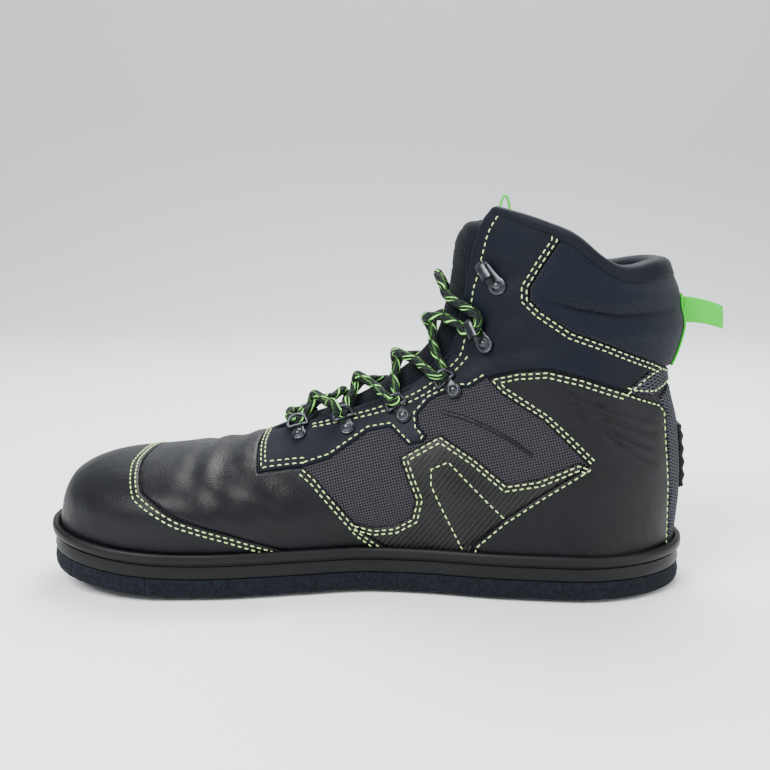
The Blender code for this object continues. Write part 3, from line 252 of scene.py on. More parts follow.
def offset(line: Array, inset: float, closed: bool) -> Array:
    """Polyline moved to its left, with mitred corners.

    Args:
        line: Corners of the polyline.
        inset: How far it is moved.
        closed: Whether its last corner runs on to its first.
    """
    ahead = np.roll(line, -1, axis=0) - line
    if not closed:
        ahead[-1] = ahead[-2]
    ahead = unit(ahead)
    left = np.stack([-ahead[:, 1], ahead[:, 0]], -1)
    before = np.roll(left, 1, axis=0)
    if not closed:
        before[0] = left[0]
    share = 1 + np.sum(left * before, axis=1, keepdims=True)
    return line + inset * ((left + before) / np.maximum(share, MITRE_LIMIT))


def unit(vectors: Array) -> Array:
    """Vectors of length 1 with the same directions."""
    return vectors / np.linalg.norm(vectors, axis=-1, keepdims=True)


def lengths(points: Array) -> Array:
    """Length along a polyline up to each of its points."""
    return np.concatenate([[0], np.cumsum(np.linalg.norm(np.diff(points, axis=0), axis=1))])


def looped(line: Array) -> Array:
    """Polyline with its first corner repeated at its end."""
    return np.vstack([line, line[:1]])


def circle(sides: int) -> Array:
    """Even angles once round."""
    return np.linspace(0, 2 * pi, sides, endpoint=False)


def ease(share: Array) -> Array:
    """Share from 0 to 1 that starts and ends level."""
    return share ** 2 * (3 - 2 * share)


@dataclass
class Last:
    """Form that every soft piece lies on, with the sizes that a last maker gives, in metres.

    Attributes:
        length: Length of the sole.
        ball_width: Width across the ball.
        shaft_width: Width of the shaft at the ankle.
        instep_height: Height of the instep above the feather edge.
        shaft_height: Height of the collar's front above the feather edge.
        heel_height: Height of the heel's fullest place above the feather edge.
        back_height: Height of the collar's back above the feather edge.
        toe_spring: Rise of the sole at the toe.
        spring_start: Where this rise starts, as a share of the length.
        feather: Height of the feather edge above the floor.
        feather_inset: How far it lies inside the outline of the sole.
        throat_gap: Width of the throat at its foot.
        collar_gap: Width of the throat at the collar.
        throat_round: Sections over which the throat's foot is rounded.
        toe_round: Share of the length over which the toe closes.
        heel_round: Share of the length over which the heel closes.
        dip_place: Share of the way up a section at which the collar dips most.
        dip_spread: Share over which the dip fades.
        crease_fade: Power by which a crease fades to its ends.
        ridge: Height of the ridges along a crease, as a share of its depth.
        wall: Thickness of the upper's wall.
        shift: Offset from the boot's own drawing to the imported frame.
    """

    length: float = 0.320
    ball_width: float = 0.120
    shaft_width: float = 0.084
    instep_height: float = 0.103
    shaft_height: float = 0.168
    heel_height: float = 0.058
    back_height: float = 0.139
    toe_spring: float = 0.009
    spring_start: float = 0.28
    feather: float = 0.0222
    feather_inset: float = 0.0039
    throat_gap: float = 0.026
    collar_gap: float = 0.048
    throat_round: float = 1.2
    toe_round: float = 0.22
    heel_round: float = 0.18
    dip_place: float = 0.27
    dip_spread: float = 0.20
    crease_fade: float = 0.6
    ridge: float = 0.35
    wall: float = 0.002
    shift: Array = field(default_factory=lambda: np.zeros(3))

    @staticmethod
    def read(rows: list, column: str, places: Array) -> Array:
        """Column of a table at fractional rows, by a cubic through the rows (Catmull-Rom).

        Args:
            rows: The table.
            column: Name of the column.
            places: Row numbers, with fractions.
        """
        values = np.array([getattr(row, column) for row in rows], float)
        places = np.clip(np.asarray(places, float), 0, len(values) - 1)
        row = np.minimum(places.astype(int), len(values) - 2)
        part = places - row
        padded = np.concatenate([[values[0]], values, [values[-1]]])
        before, first, second, after = (padded[row + step] for step in range(4))
        slope_in, slope_out = (second - before) / 2, (after - first) / 2
        cubic = 2 * first - 2 * second + slope_in + slope_out
        square = -3 * first + 3 * second - 2 * slope_in - slope_out
        return first + part * (slope_in + part * (square + part * cubic))

    def outline_x(self, along: Array, inset: float) -> Array:
        """Place on X of a share of the length, on the sole outline drawn in by inset."""
        return -self.length / 2 + inset + along * (self.length - 2 * inset)

    def outline_half(self, along: Array, inset: float) -> Array:
        """Half width of the sole outline: its table, closed by a quarter ellipse at each end."""
        toe = np.clip(1 - along / self.toe_round, 0, 1)
        heel = np.clip(1 - (1 - along) / self.heel_round, 0, 1)
        half = self.read(OUTLINE, "half", np.clip(along, 0, 1) * (len(OUTLINE) - 1))
        return (self.ball_width * half - inset) * np.sqrt(1 - toe ** 2) * np.sqrt(1 - heel ** 2)

    def lean(self, along: Array) -> Array:
        """Lean of the sole outline to the medial side, as a share of the ball width."""
        return self.read(OUTLINE, "lean", np.clip(along, 0, 1) * (len(OUTLINE) - 1))

    def spring(self, x: Array) -> Array:
        """Rise of the sole towards the toe, a parabola from where the toe spring starts."""
        start = self.length * (self.spring_start - 0.5)
        return self.toe_spring * np.clip((start - x) / (start + self.length / 2), 0, None) ** 2

    def fan(self, section: Array) -> Fan:
        """Slanted line of each section, foot and crest, with its half widths and closing."""
        def read(column: str) -> Array:
            """Column of the sections' table."""
            return self.read(SECTIONS, column, section)

        heeled = section > HEEL
        foot = np.where(section >= HEEL, 1.0, np.clip(read("foot"), 0, 1))
        foot_x = self.outline_x(foot, self.feather_inset) + heeled * read("back") * self.length
        level = self.feather + self.spring(foot_x)
        back = read("heel") * self.heel_height
        back = back + read("collar") * (self.back_height - self.heel_height)
        crest_z = level + read("instep") * self.instep_height
        crest_z = crest_z + read("shaft") * (self.shaft_height - self.instep_height)
        toe_end = np.sqrt(1 - np.clip(1 - foot / self.toe_round, 0, 1) ** 2)
        widest = (read("ball") * self.ball_width + read("ankle") * self.shaft_width) * toe_end
        return Fan(foot_x, level + heeled * back, (read("crest") - 0.5) * self.length, crest_z,
                   self.outline_half(foot, self.feather_inset), widest, read("belly"),
                   2 / read("round"), self.lean(foot), read("lean"), read("dip"))

    def sag(self, line: Fan, share: Array) -> Array:
        """Sag of the collar's rim: a bell over the share of the way up the section."""
        bell = np.exp(-((share - self.dip_place) / self.dip_spread) ** 2)
        return line.dip * self.shaft_height * bell

    def form(self, section: Array, turn: Array) -> Array:
        """Point of the last: two quarter ellipses, foot to belly and belly to crest.

        Args:
            section: From 0 at the toe to COLLAR at the collar.
            turn: 0 at the medial foot, 1 at the crest, 2 at the lateral foot.
        """
        section, turn = np.broadcast_arrays(np.asarray(section, float), np.asarray(turn, float))
        lateral = (turn < 0) | ((turn > 1) & (turn <= 2))
        climb = np.where(turn < 0, -turn, turn)
        climb = np.where((climb > 1) & (climb <= 2), 2 - climb, climb)
        climb = np.where(climb > 2, climb - 2, climb)
        line = self.fan(section)
        low = np.clip(climb * 2, 0, 1) * pi / 2
        high = np.clip(climb * 2 - 1, 0, 1) * pi / 2
        share = np.where(climb < 0.5, line.belly * (1 - np.cos(low)),
                         line.belly + (1 - line.belly) * np.sin(high) ** line.power)
        half = np.where(climb < 0.5,
                        np.hypot(line.widest * np.sin(low), line.foot_half * np.cos(low)),
                        line.widest * np.clip(np.cos(high), 0, 1) ** line.power)
        lean = line.foot_lean * (1 - share) + line.crest_lean * share
        x = line.foot_x + (line.crest_x - line.foot_x) * share
        z = line.foot_z + (line.crest_z - line.foot_z) * share - self.sag(line, share)
        return np.stack([x, np.where(lateral, half, -half) - lean * self.ball_width, z], -1)

    def throat_half(self, section: Array) -> Array:
        """Half width of the throat: a round end at its foot, widening evenly to the collar."""
        up = np.clip((section - THROAT) / (COLLAR - THROAT), 0, 1)
        end = np.clip(1 - (section - THROAT) / self.throat_round, 0, 1)
        gap = self.throat_gap + (self.collar_gap - self.throat_gap) * up
        return gap / 2 * np.sqrt(1 - end ** 2)

    def climb_at(self, section: Array, half: Array) -> Array:
        """Climb at which a section has this half width, above its belly."""
        line = self.fan(section)
        ratio = np.clip(half / np.maximum(line.widest, SLIVER), 0, 1)
        return 0.5 + np.arccos(ratio ** (1 / line.power)) / pi

    def edge(self, section: Array) -> Array:
        """Climb of the throat's edge, 1 where the vamp is closed."""
        return np.where(section > THROAT, self.climb_at(section, self.throat_half(section)), 1.0)

    def turn_at(self, section: Array, climb: Array, lateral: bool) -> Array:
        """Turn on the form for a climb that reaches 1 at the edge of the throat."""
        section, climb = np.broadcast_arrays(np.asarray(section, float), climb)
        scaled = np.where(climb > 0.5, 0.5 + (climb - 0.5) * (self.edge(section) - 0.5) * 2, climb)
        return 2 - np.minimum(scaled, 1 - 1e-9) if lateral else scaled

    def outward(self, section: Array, turn: Array) -> Array:
        """Unit normal of the form, level along its foot: the cross product of its two slopes."""
        step = SLOPE_STEP
        section, turn = np.broadcast_arrays(np.asarray(section, float), np.asarray(turn, float))
        along = self.form(np.minimum(section + step, COLLAR), turn)
        along = along - self.form(np.maximum(section - step, 0), turn)
        footed = section < HEEL
        start = np.where(footed, np.maximum(turn - step, 0), turn - step)
        end = np.where(footed, np.minimum(turn + step, 2), turn + step)
        normal = np.cross(along, self.form(section, end) - self.form(section, start))
        at_foot = footed & ((turn <= 0) | (turn >= 2))
        normal[..., 2] = np.where(at_foot, 0, normal[..., 2])
        tip = self.form(0, 1) - self.form(0, 0)
        return unit(np.where((section <= 0)[..., None], np.array([-tip[2], 0, tip[0]]), normal))

    def normal(self, section: Array, climb: Array, lateral: bool) -> Array:
        """Unit normal of the form at a climb."""
        return self.outward(section, self.turn_at(section, climb, lateral))

    def crease(self, flat: Array) -> Array:
        """Depth of the creases: a bell trough along each line with a low ridge on both sides."""
        total = np.zeros(flat.shape[:-1])
        for crease in CREASES:
            gap, along = distance(flat, flat_of(crease.line, self))
            fade = np.sin(pi * np.clip(along, 0.02, 0.98)) ** self.crease_fade
            trough = np.exp(-(gap / crease.width) ** 2)
            ridge = self.ridge * np.exp(-((gap - 2 * crease.width) / crease.width) ** 2)
            total -= crease.depth * fade * (trough - ridge)
        return total

    def skin(self, section: Array, climb: Array, lateral: bool,
             lift: Array) -> Array:
        """Points over the form along its normal, with the creases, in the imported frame.

        Args:
            section: From 0 at the toe to COLLAR at the collar.
            climb: From 0 at the sole to 1 at the edge of the throat.
            lateral: Whether they lie on the lateral side.
            lift: Height over the form.
        """
        turn = self.turn_at(section, climb, lateral)
        points = self.form(section, turn)
        raised = lift + self.crease(points[..., (0, 2)])
        return points + self.outward(section, turn) * raised[..., None] + self.shift

    def joined(self, lateral: Array, section: Array, climb: Array,
               lift: Array) -> Array:
        """Points over both sides, with a truth value for each that picks the lateral side."""
        sides = [self.skin(section, climb, side, lift) for side in (False, True)]
        return np.where(lateral[..., None], sides[1], sides[0])

    def locate(self, flat: Array) -> tuple[Array, Array, Array]:
        """Section and climb of side view points.

        A section is a straight line in side view, so a point's section is where its side of the
        line changes in a fine row of sections, and its share is its place along that line.

        Args:
            flat: One row of X and Z for each point.

        Returns:
            Section, climb, and whether the point lies on the form.
        """
        table = np.linspace(0, COLLAR, LOOKUP_ROWS)
        line = self.fan(table)
        run_x, run_z = line.crest_x - line.foot_x, line.crest_z - line.foot_z
        away_x = flat[:, None, 0] - line.foot_x
        away_z = flat[:, None, 1] - line.foot_z
        for _ in range(2):
            share = (away_x * run_x + away_z * run_z) / (run_x ** 2 + run_z ** 2)
            away_z = flat[:, None, 1] - line.foot_z + self.sag(line, share)
        side = run_x * away_z - run_z * away_x
        flips = (side[:, :-1] < 0) & (side[:, 1:] >= 0)
        near = flips & (np.abs(share[:, :-1] - 0.5) < 0.55)
        chosen = np.where(near.any(1), near.argmax(1), flips.argmax(1))
        rows = np.arange(len(flat))
        before, after = side[rows, chosen], side[rows, chosen + 1]
        part = np.clip(before / np.where(before == after, 1, before - after), 0, 1)
        section = (chosen + part) * table[1]
        share = share[rows, chosen] * (1 - part) + share[rows, chosen + 1] * part
        inside = flips.any(1) & (share >= 0) & (share <= 1)
        beyond = ~flips.any(1) & (side[:, -1] < 0)
        section = np.where(beyond, COLLAR, section)
        at = self.fan(section)
        low = np.arccos(np.clip(1 - share / at.belly, -1, 1)) / pi
        upper = np.clip((share - at.belly) / (1 - at.belly), 0, 1) ** (1 / at.power)
        climb = np.where(share < at.belly, low, 0.5 + np.arcsin(upper) / pi)
        reach = np.maximum((self.edge(section) - 0.5) * 2, 1e-6)
        climb = np.where(climb > 0.5, 0.5 + (climb - 0.5) / reach, climb)
        return section, climb, inside & (climb <= 1)

    def trace(self, line: Array, step: float = 0.0015) -> list[Array]:
        """Stretches of a side view polyline that lie on the form, ended exactly at its edges.

        Args:
            line: Corners of the polyline.
            step: Distance between the points of a stretch.

        Returns:
            For each stretch its points as rows of section and climb.
        """
        corner = lengths(line)
        at = np.unique(np.round(np.concatenate([corner, np.arange(0, corner[-1], step)]), 7))

        def place(where: Array) -> Array:
            """Side view points at lengths along the polyline."""
            return np.stack([np.interp(where, corner, line[:, axis]) for axis in (0, 1)], -1)

        inside = self.locate(place(at))[2]
        change = np.flatnonzero(inside[1:] != inside[:-1])
        kept = np.where(inside[change], at[change], at[change + 1])
        lost = np.where(inside[change], at[change + 1], at[change])
        for _ in range(HALVINGS if len(change) else 0):
            middle = (kept + lost) / 2
            good = self.locate(place(middle))[2]
            kept, lost = np.where(good, middle, kept), np.where(good, lost, middle)
        ends = np.concatenate([at[:1][inside[:1]], kept, at[-1:][inside[-1:]]])
        runs = []
        for first, last in zip(ends[::2], ends[1::2]):
            where = np.concatenate([[first], at[(at > first + 1e-6) & (at < last - 1e-6)], [last]])
            section, climb, _ = self.locate(place(where))
            run = np.stack([section, climb], -1)
            for end, bound in ((0, first), (-1, last)):
                if np.isin(bound, kept):
                    row, height = run[end]
                    nearest = np.argmin([height, 1 - height, row / 4, (COLLAR - row) / 4])
                    axis, value = ((1, 0.0), (1, 1.0), (0, 0.0), (0, float(COLLAR)))[nearest]
                    run[end, axis] = value
            if len(run) > 1:
                runs.append(run)
        return runs


@dataclass
class Mesh:
    """Arrays of a mesh in the making.

    Attributes:
        points: Arrays of points, one for each call of add.
        faces: Numbers of the points round each face.
        uv: For each array of points its pattern places, in metres.
        count: Points so far.
    """

    points: list = field(default_factory=list)
    faces: list = field(default_factory=list)
    uv: list = field(default_factory=list)
    count: int = 0

    def add(self, points: Array, faces: Array, uv: Array | None = None) -> None:
        """Appends points and the faces between them."""
        points = points.reshape(-1, 3)
        self.points.append(points)
        self.faces += (np.asarray(faces) + self.count).tolist()
        self.uv.append(np.zeros((len(points), 2)) if uv is None else uv.reshape(-1, 2))
        self.count += len(points)

    def grid(self, points: Array, round_u: bool = False, round_v: bool = False,
             caps: bool = False, uv: Array | None = None) -> None:
        """Appends a grid of points.

        Args:
            points: The grid.
            round_u: Whether its last row joins its first.
            round_v: Whether its last column joins its first.
            caps: Whether its first and last rows are closed by a face.
            uv: Pattern places of its points.
        """
        rows, columns = points.shape[:2]
        start = self.count
        self.add(points, net_quads(rows, columns, round_u, round_v), uv)
        if caps:
            self.faces.append((start + np.arange(columns)).tolist())
            self.faces.append((start + (rows - 1) * columns + np.arange(columns))[::-1].tolist())

    def finish(self, name: str, weld: float = 0.0, recalculate: bool = False) -> Piece:
        """Object of the mesh, riding on the boot, smooth shaded.

        Args:
            name: Name of the object.
            weld: Distance under which points are joined, 0 for none.
            recalculate: Whether the faces are turned outwards, for closed pieces.
        """
        mesh = bpy.data.meshes.new(name)
        mesh.from_pydata(np.concatenate(self.points).tolist(), [], self.faces)
        layer = mesh.uv_layers.new(name="UVMap")
        corners = np.empty(len(mesh.loops), np.int32)
        mesh.loops.foreach_get("vertex_index", corners)
        layer.data.foreach_set("uv", np.concatenate(self.uv)[corners].ravel())
        if weld or recalculate:
            work = bmesh.new()
            work.from_mesh(mesh)
            if weld:
                bmesh.ops.remove_doubles(work, verts=work.verts, dist=weld)
            if recalculate:
                bmesh.ops.recalc_face_normals(work, faces=work.faces)
            work.to_mesh(mesh)
            work.free()
        mesh.shade_smooth()
        mesh.set_sharp_from_angle(angle=radians(SHARP_ANGLE))
        piece = put(name, mesh)
        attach(piece, "root")
        LOG.info("%s: %d faces", name, len(mesh.polygons))
        return piece


def net_quads(rows: int, columns: int, round_u: bool = False,
              round_v: bool = False) -> Array:
    """Faces of a grid numbered row by row; round_u joins its rows round, round_v its columns."""
    number = np.arange(rows * columns).reshape(rows, columns)
    if round_u:
        number = np.vstack([number, number[:1]])
    if round_v:
        number = np.hstack([number, number[:, :1]])
    quads = np.stack([number[:-1, :-1], number[1:, :-1], number[1:, 1:], number[:-1, 1:]], -1)
    return quads.reshape(-1, 4)


def put(name: str, data: bpy.types.ID) -> Piece:
    """New object of this data, in the scene."""
    made = bpy.data.objects.new(name, data)
    bpy.context.scene.collection.objects.link(made)
    return made


def dress(piece: Piece, finishes: dict, finish: str,
          nodes: list[str]) -> Piece:
    """Gives a piece its material, and hides the nodes that it stands for.

    Args:
        piece: The piece.
        finishes: Materials by name.
        finish: Name of its material.
        nodes: Nodes that it stands for, or none for an added detail.
    """
    piece.data.materials.clear()
    piece.data.materials.append(finishes[finish])
    if nodes:
        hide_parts(*nodes)
    return piece


def thicken(piece: Piece, thickness: float) -> Piece:
    """Closes a sheet into a wall of this thickness, laid on the inner side of its faces."""
    step = piece.modifiers.new("wall", "SOLIDIFY")
    step.thickness = thickness
    step.offset = -1
    return piece


def sweep(path: Array, up: Array, radius: float, sides: int,
          flat: float = 1.0) -> Array:
    """Grid round a path: a circle in the plane across it, flattened along up.

    Args:
        path: Points along the middle.
        up: Direction at each point that the circle's first axis follows.
        radius: Half width.
        sides: Points round the circle.
        flat: Height over width.
    """
    ahead = unit(np.gradient(path, axis=0))
    up = unit(up - np.sum(up * ahead, axis=1, keepdims=True) * ahead)
    across = np.cross(ahead, up)
    angle = circle(sides)[:, None]
    ring = flat * np.cos(angle) * up[:, None] + np.sin(angle) * across[:, None]
    return path[:, None] + radius * ring


def sweep_round(path: Array, up: Array, radius: float, sides: int,
                flat: float = 1.0) -> Array:
    """Grid round a closed path, whose last row is to be joined to its first."""
    path, up = (np.vstack([line[-1:], line, line[:1]]) for line in (path, up))
    return sweep(path, up, radius, sides, flat)[1:-1]


def lathe(profile: Array, sides: int) -> Array:
    """Grid of a turned piece, from a profile whose rows are radius and height."""
    angle = circle(sides)
    x, y = profile[:, :1] * np.cos(angle), profile[:, :1] * np.sin(angle)
    return np.stack([x, y, np.broadcast_to(profile[:, 1:], x.shape)], -1)


def smooth_path(points: Array, step: float, closed: bool = False) -> Array:
    """Even points along a Catmull-Rom curve through control points.

    Args:
        points: The control points.
        step: Distance between the points of the curve.
        closed: Whether it runs back to its first point.
    """
    ends = (points[-1:], points[:2]) if closed else (points[:1], points[-1:])
    padded = np.concatenate([ends[0], points, ends[1]])
    count = len(points) if closed else len(points) - 1
    at = np.linspace(0, count, count * CURVE_POINTS + 1)
    row = np.minimum(at.astype(int), count - 1)
    part = (at - row)[:, None]
    before, first, second, after = (padded[row + place] for place in range(4))
    curve = first + 0.5 * part * (second - before + part * (
        2 * before - 5 * first + 4 * second - after + part * (
            3 * first - before - 3 * second + after)))
    length = lengths(curve)
    even = np.linspace(0, length[-1], int(length[-1] / step) + 1)
    return np.stack([np.interp(even, length, curve[:, axis]) for axis in range(3)], -1)


def linear(code: str) -> tuple[float, float, float, float]:
    """Linear colour of an sRGB hex value such as #0e1a2b."""
    shares = [int(code[place:place + 2], 16) / 255 for place in (1, 3, 5)]
    return (*(s / 12.92 if s < 0.0405 else ((s + 0.055) / 1.055) ** 2.4 for s in shares), 1.0)


def set_inputs(node: bpy.types.Node, values: dict) -> None:
    """Sets constants on a node's sockets."""
    for key, value in values.items():
        node.inputs[key].default_value = value


def add(tree: Tree, kind: str, settings: dict, links: dict) -> bpy.types.Node:
    """Adds a node with its settings and links.

    Args:
        tree: Node tree of the material.
        kind: Type of the node, after ShaderNode.
        settings: Values by input, or by property where the key is in lower case.
        links: Sockets by input.
    """
    node = tree.nodes.new("ShaderNode" + kind)
    for key, value in settings.items():
        if isinstance(key, str) and key.islower():
            setattr(node, key, value)
        else:
            set_inputs(node, {key: value})
    for key, socket in links.items():
        tree.links.new(socket, node.inputs[key])
    return node


def stripes(tree: Tree, place: Socket, across: tuple, pitch: float) -> Socket:
    """Rows of stripes: a sine of the way along a direction.

    Args:
        tree: Node tree of the material.
        place: What they follow.
        across: Direction across them.
        pitch: Distance from one to the next.
    """
    scale = [2 * pi * part / pitch for part in across]
    way = add(tree, "VectorMath", {"operation": "DOT_PRODUCT", 1: scale}, {0: place})
    return add(tree, "Math", {"operation": "SINE"}, {0: way.outputs["Value"]}).outputs[0]


def combine(tree: Tree, operation: str, first: Socket, second: Socket | float) -> Socket:
    """Result of a maths operation on two values."""
    if isinstance(second, float):
        return add(tree, "Math", {"operation": operation, 1: second}, {0: first}).outputs[0]
    return add(tree, "Math", {"operation": operation}, {0: first, 1: second}).outputs[0]


def noise(tree: Tree, place: Socket, size: float, detail: float = 3.0) -> Socket:
    """Noise from 0 to 1 with lumps of this size in metres."""
    made = add(tree, "TexNoise", {"Scale": 1 / size, "Detail": detail}, {"Vector": place})
    return made.outputs["Fac"]


def span(tree: Tree, value: Socket, low: float, high: float, start: float = 0.0,
         end: float = 1.0) -> Socket:
    """Value carried from low..high to start..end, clamped."""
    made = add(tree, "MapRange", {"From Min": low, "From Max": high, "To Min": start,
                                  "To Max": end}, {"Value": value})
    return made.outputs["Result"]


def tint(tree: Tree, share: Socket, first: Socket | str, second: str) -> Socket:
    """Colour between two, by share."""
    settings = {"data_type": "RGBA", 7: linear(second)}
    links = {0: share}
    if isinstance(first, str):
        settings[6] = linear(first)
    else:
        links[6] = first
    return add(tree, "Mix", settings, links).outputs[2]


def bump(tree: Tree, height: Socket, depth: float, below: Socket | None = None) -> Socket:
    """Normal raised by a height of 0 to 1 times depth in metres, over another normal."""
    links = {"Height": height} if below is None else {"Height": height, "Normal": below}
    return add(tree, "Bump", {"Strength": 1.0, "Distance": depth}, links).outputs[0]


class Place(Enum):
    """What a pattern follows: the boot's own axes, or the way along and round a piece."""

    OBJECT = "Object"
    ALONG = "UV"


@dataclass(frozen=True)
class Finish:
    """Surface of one material: named colours as sRGB hex, and its roughness.

    Attributes:
        name: What the material is.
        colour: Main colour.
        pale_and_highlight: Colour of its lighter, worn or raised places; on raised ribs and felt
            tufts it is a painted highlight.
        roughness: Base roughness.
        place: What the pattern follows.
    """

    name: str
    colour: str
    pale_and_highlight: str
    roughness: float
    place: Place = Place.OBJECT

    def build(self) -> bpy.types.Material:
        """Material with the finish's colour, roughness and relief."""
        made = bpy.data.materials.new(self.name)
        made.use_nodes = True
        tree = made.node_tree
        shader = tree.nodes["Principled BSDF"]
        place = add(tree, "TexCoord", {}, {}).outputs[self.place.value]
        colour, rough, normal = self.surface(tree, place)
        tree.links.new(colour, shader.inputs["Base Color"])
        tree.links.new(rough, shader.inputs["Roughness"])
        tree.links.new(normal, shader.inputs["Normal"])
        set_inputs(shader, self.gloss())
        return made

    def gloss(self) -> dict:
        """Constants on the shader's own sockets."""
        return {"Specular IOR Level": 0.22}

    def surface(self, tree: Tree, place: Socket) -> tuple[Socket, Socket, Socket]:
        """Colour, roughness and normal: a plain surface with soft patches."""
        patch = noise(tree, place, 0.03)
        colour = tint(tree, span(tree, patch, 0.4, 0.75, 0, 0.5), self.colour, self.pale_and_highlight)
        rough = span(tree, patch, 0.3, 0.7, self.roughness - 0.05, self.roughness + 0.05)
        return colour, rough, bump(tree, noise(tree, place, 0.001), 0.0001)


@dataclass(frozen=True)
class Leather(Finish):
    """Coated or buffed leather: pebbled grain from the hide's pores, pressed flat and finished.

    Attributes:
        grain: Width of a pebble of the grain, drawn a little coarse so that it shows.
        relief: Depth of the grain.
        specular: How strongly it mirrors, half for a smooth plastic.
        sheen: Weight of the nap's pale edge light.
    """

    grain: float = 0.0011
    relief: float = 0.00012
    specular: float = 0.3
    sheen: float = 0.0

    def gloss(self) -> dict:
        """Dressed face of a coated hide, or the nap of a buffed one."""
        return {"Specular IOR Level": self.specular, "Coat Weight": 0.04, "Coat Roughness": 0.30,
                "Sheen Weight": self.sheen, "Sheen Roughness": 0.4}

    def surface(self, tree: Tree, place: Socket) -> tuple[Socket, Socket, Socket]:
        """Pebbles from cells, fine pores from noise, and dust in soft patches."""
        cells = add(tree, "TexVoronoi", {"Scale": 1 / self.grain}, {"Vector": place})
        pores = noise(tree, place, self.grain / 2)
        patch = noise(tree, place, 0.022, 5.0)
        grain = combine(tree, "ADD", cells.outputs["Distance"], pores)
        colour = tint(tree, span(tree, patch, 0.45, 0.8, 0, 0.6), self.colour, self.pale_and_highlight)
        colour = tint(tree, span(tree, grain, 0.9, 1.4, 0, 0.35), colour, self.pale_and_highlight)
        rough = span(tree, patch, 0.3, 0.7, self.roughness - 0.07, self.roughness + 0.07)
        soft = bump(tree, noise(tree, place, 0.012, 1.0), 0.0006)
        return colour, rough, bump(tree, grain, self.relief, soft)


@dataclass(frozen=True)
class Ribbed(Leather):
    """Leather embossed with straight ribs by a heated plate.

    Attributes:
        pitch: Distance from rib to rib.
    """

    pitch: float = 0.0022

    def surface(self, tree: Tree, place: Socket) -> tuple[Socket, Socket, Socket]:
        """Ribs that run up and back, with a painted highlight on their crests, over the leather's
        own grain.
        """
        colour, rough, grain = Leather.surface(self, tree, place)
        ribs = stripes(tree, place, (0.79, 0, -0.61), self.pitch)
        # Painted highlight: the rib crests are tinted towards the paler colour, as if they catch
        # the light.
        colour = tint(tree, span(tree, ribs, 0.2, 1.0, 0, 0.8), colour, self.pale_and_highlight)
        return colour, rough, bump(tree, span(tree, ribs, -0.6, 0.6), 0.0005, grain)


@dataclass(frozen=True)
class Weave(Finish):
    """Woven or knitted cloth: two sets of yarn, each with its pitch.

    Attributes:
        warp: Direction across the warp yarns.
        weft: Direction across the weft yarns.
        pitch: Distance from yarn to yarn, coarser than the real one where that wouldn't show.
        relief: Height of a yarn.
        open: How much of the dark ground shows between the yarns.
        sheen: Weight of the fibres' pale edge light.
    """

    warp: tuple = (0.97, 0, 0.24)
    weft: tuple = (-0.24, 0, 0.97)
    pitch: float = 0.0013
    relief: float = 0.0003
    open: float = 0.2
    sheen: float = 0.1

    def gloss(self) -> dict:
        """Fibres scatter a pale edge light and hardly gloss."""
        return {"Sheen Weight": self.sheen, "Specular IOR Level": 0.12}

    def surface(self, tree: Tree, place: Socket) -> tuple[Socket, Socket, Socket]:
        """Yarns as the higher of two rows of stripes, with a loose fibre noise."""
        warp = stripes(tree, place, self.warp, self.pitch)
        weft = stripes(tree, place, self.weft, self.pitch)
        yarn = combine(tree, "MAXIMUM", warp, weft)
        fibre = noise(tree, place, self.pitch / 3)
        share = span(tree, yarn, self.open, self.open + 0.5)
        share = combine(tree, "MULTIPLY", share, span(tree, fibre, 0.2, 0.6, 0.6, 1))
        colour = tint(tree, share, self.colour, self.pale_and_highlight)
        rough = span(tree, fibre, 0, 1, self.roughness - 0.05, self.roughness + 0.05)
        loose = combine(tree, "MULTIPLY", fibre, 0.3)
        height = combine(tree, "ADD", span(tree, yarn, -0.2, 1), loose)
        return colour, rough, bump(tree, height, self.relief)


@dataclass(frozen=True)
class Cord(Finish):
    """Braided round lace: slanting strands both ways round it, some of them bright.

    Attributes:
        strand: Length of one strand along the lace.
        bright: Colour of the flecks.
    """

    strand: float = 0.0029
    bright: str = "#8fe36a"

    def surface(self, tree: Tree, place: Socket) -> tuple[Socket, Socket, Socket]:
        """Strands as the product of two slanting rows, flecks on every third or so."""
        left = stripes(tree, place, (0.5, 1, 0), self.strand)
        right = stripes(tree, place, (0.5, -1, 0), self.strand)
        braid = combine(tree, "MAXIMUM", left, right)
        fleck = stripes(tree, place, (0.5, 0.75, 0), 2 * self.strand)
        fleck = combine(tree, "MULTIPLY", span(tree, fleck, 0.35, 0.5), span(tree, left, 0.0, 0.3))
        colour = tint(tree, span(tree, braid, 0, 1), self.colour, self.pale_and_highlight)
        colour = tint(tree, fleck, colour, self.bright)
        rough = span(tree, braid, -1, 1, self.roughness + 0.1, self.roughness)
        return colour, rough, bump(tree, span(tree, braid, -1, 1), 0.0004)


@dataclass(frozen=True)
class Felt(Finish):
    """Needled felt: matted fibres, with faint straight lines pressed across it."""

    def surface(self, tree: Tree, place: Socket) -> tuple[Socket, Socket, Socket]:
        """Fibre tufts at two sizes, with random tone and a painted highlight on the raised ones,
        and a pressed line every 40 mm.
        """
        tufts = noise(tree, place, 0.0016, 6.0)
        fine = noise(tree, place, 0.0005, 4.0)
        height = combine(tree, "ADD", tufts, combine(tree, "MULTIPLY", fine, 0.5))
        # Painted highlight: the higher tufts are tinted towards the paler colour, as if lit.
        colour = tint(tree, span(tree, height, 0.6, 1.0), self.colour, self.pale_and_highlight)
        line = stripes(tree, place, (1, 0, 0), 0.040)
        pressed = span(tree, line, 0.985, 1.0, 0, -1.5)
        rough = span(tree, fine, 0, 1, self.roughness, 1.0)
        return colour, rough, bump(tree, combine(tree, "ADD", height, pressed), 0.0007)


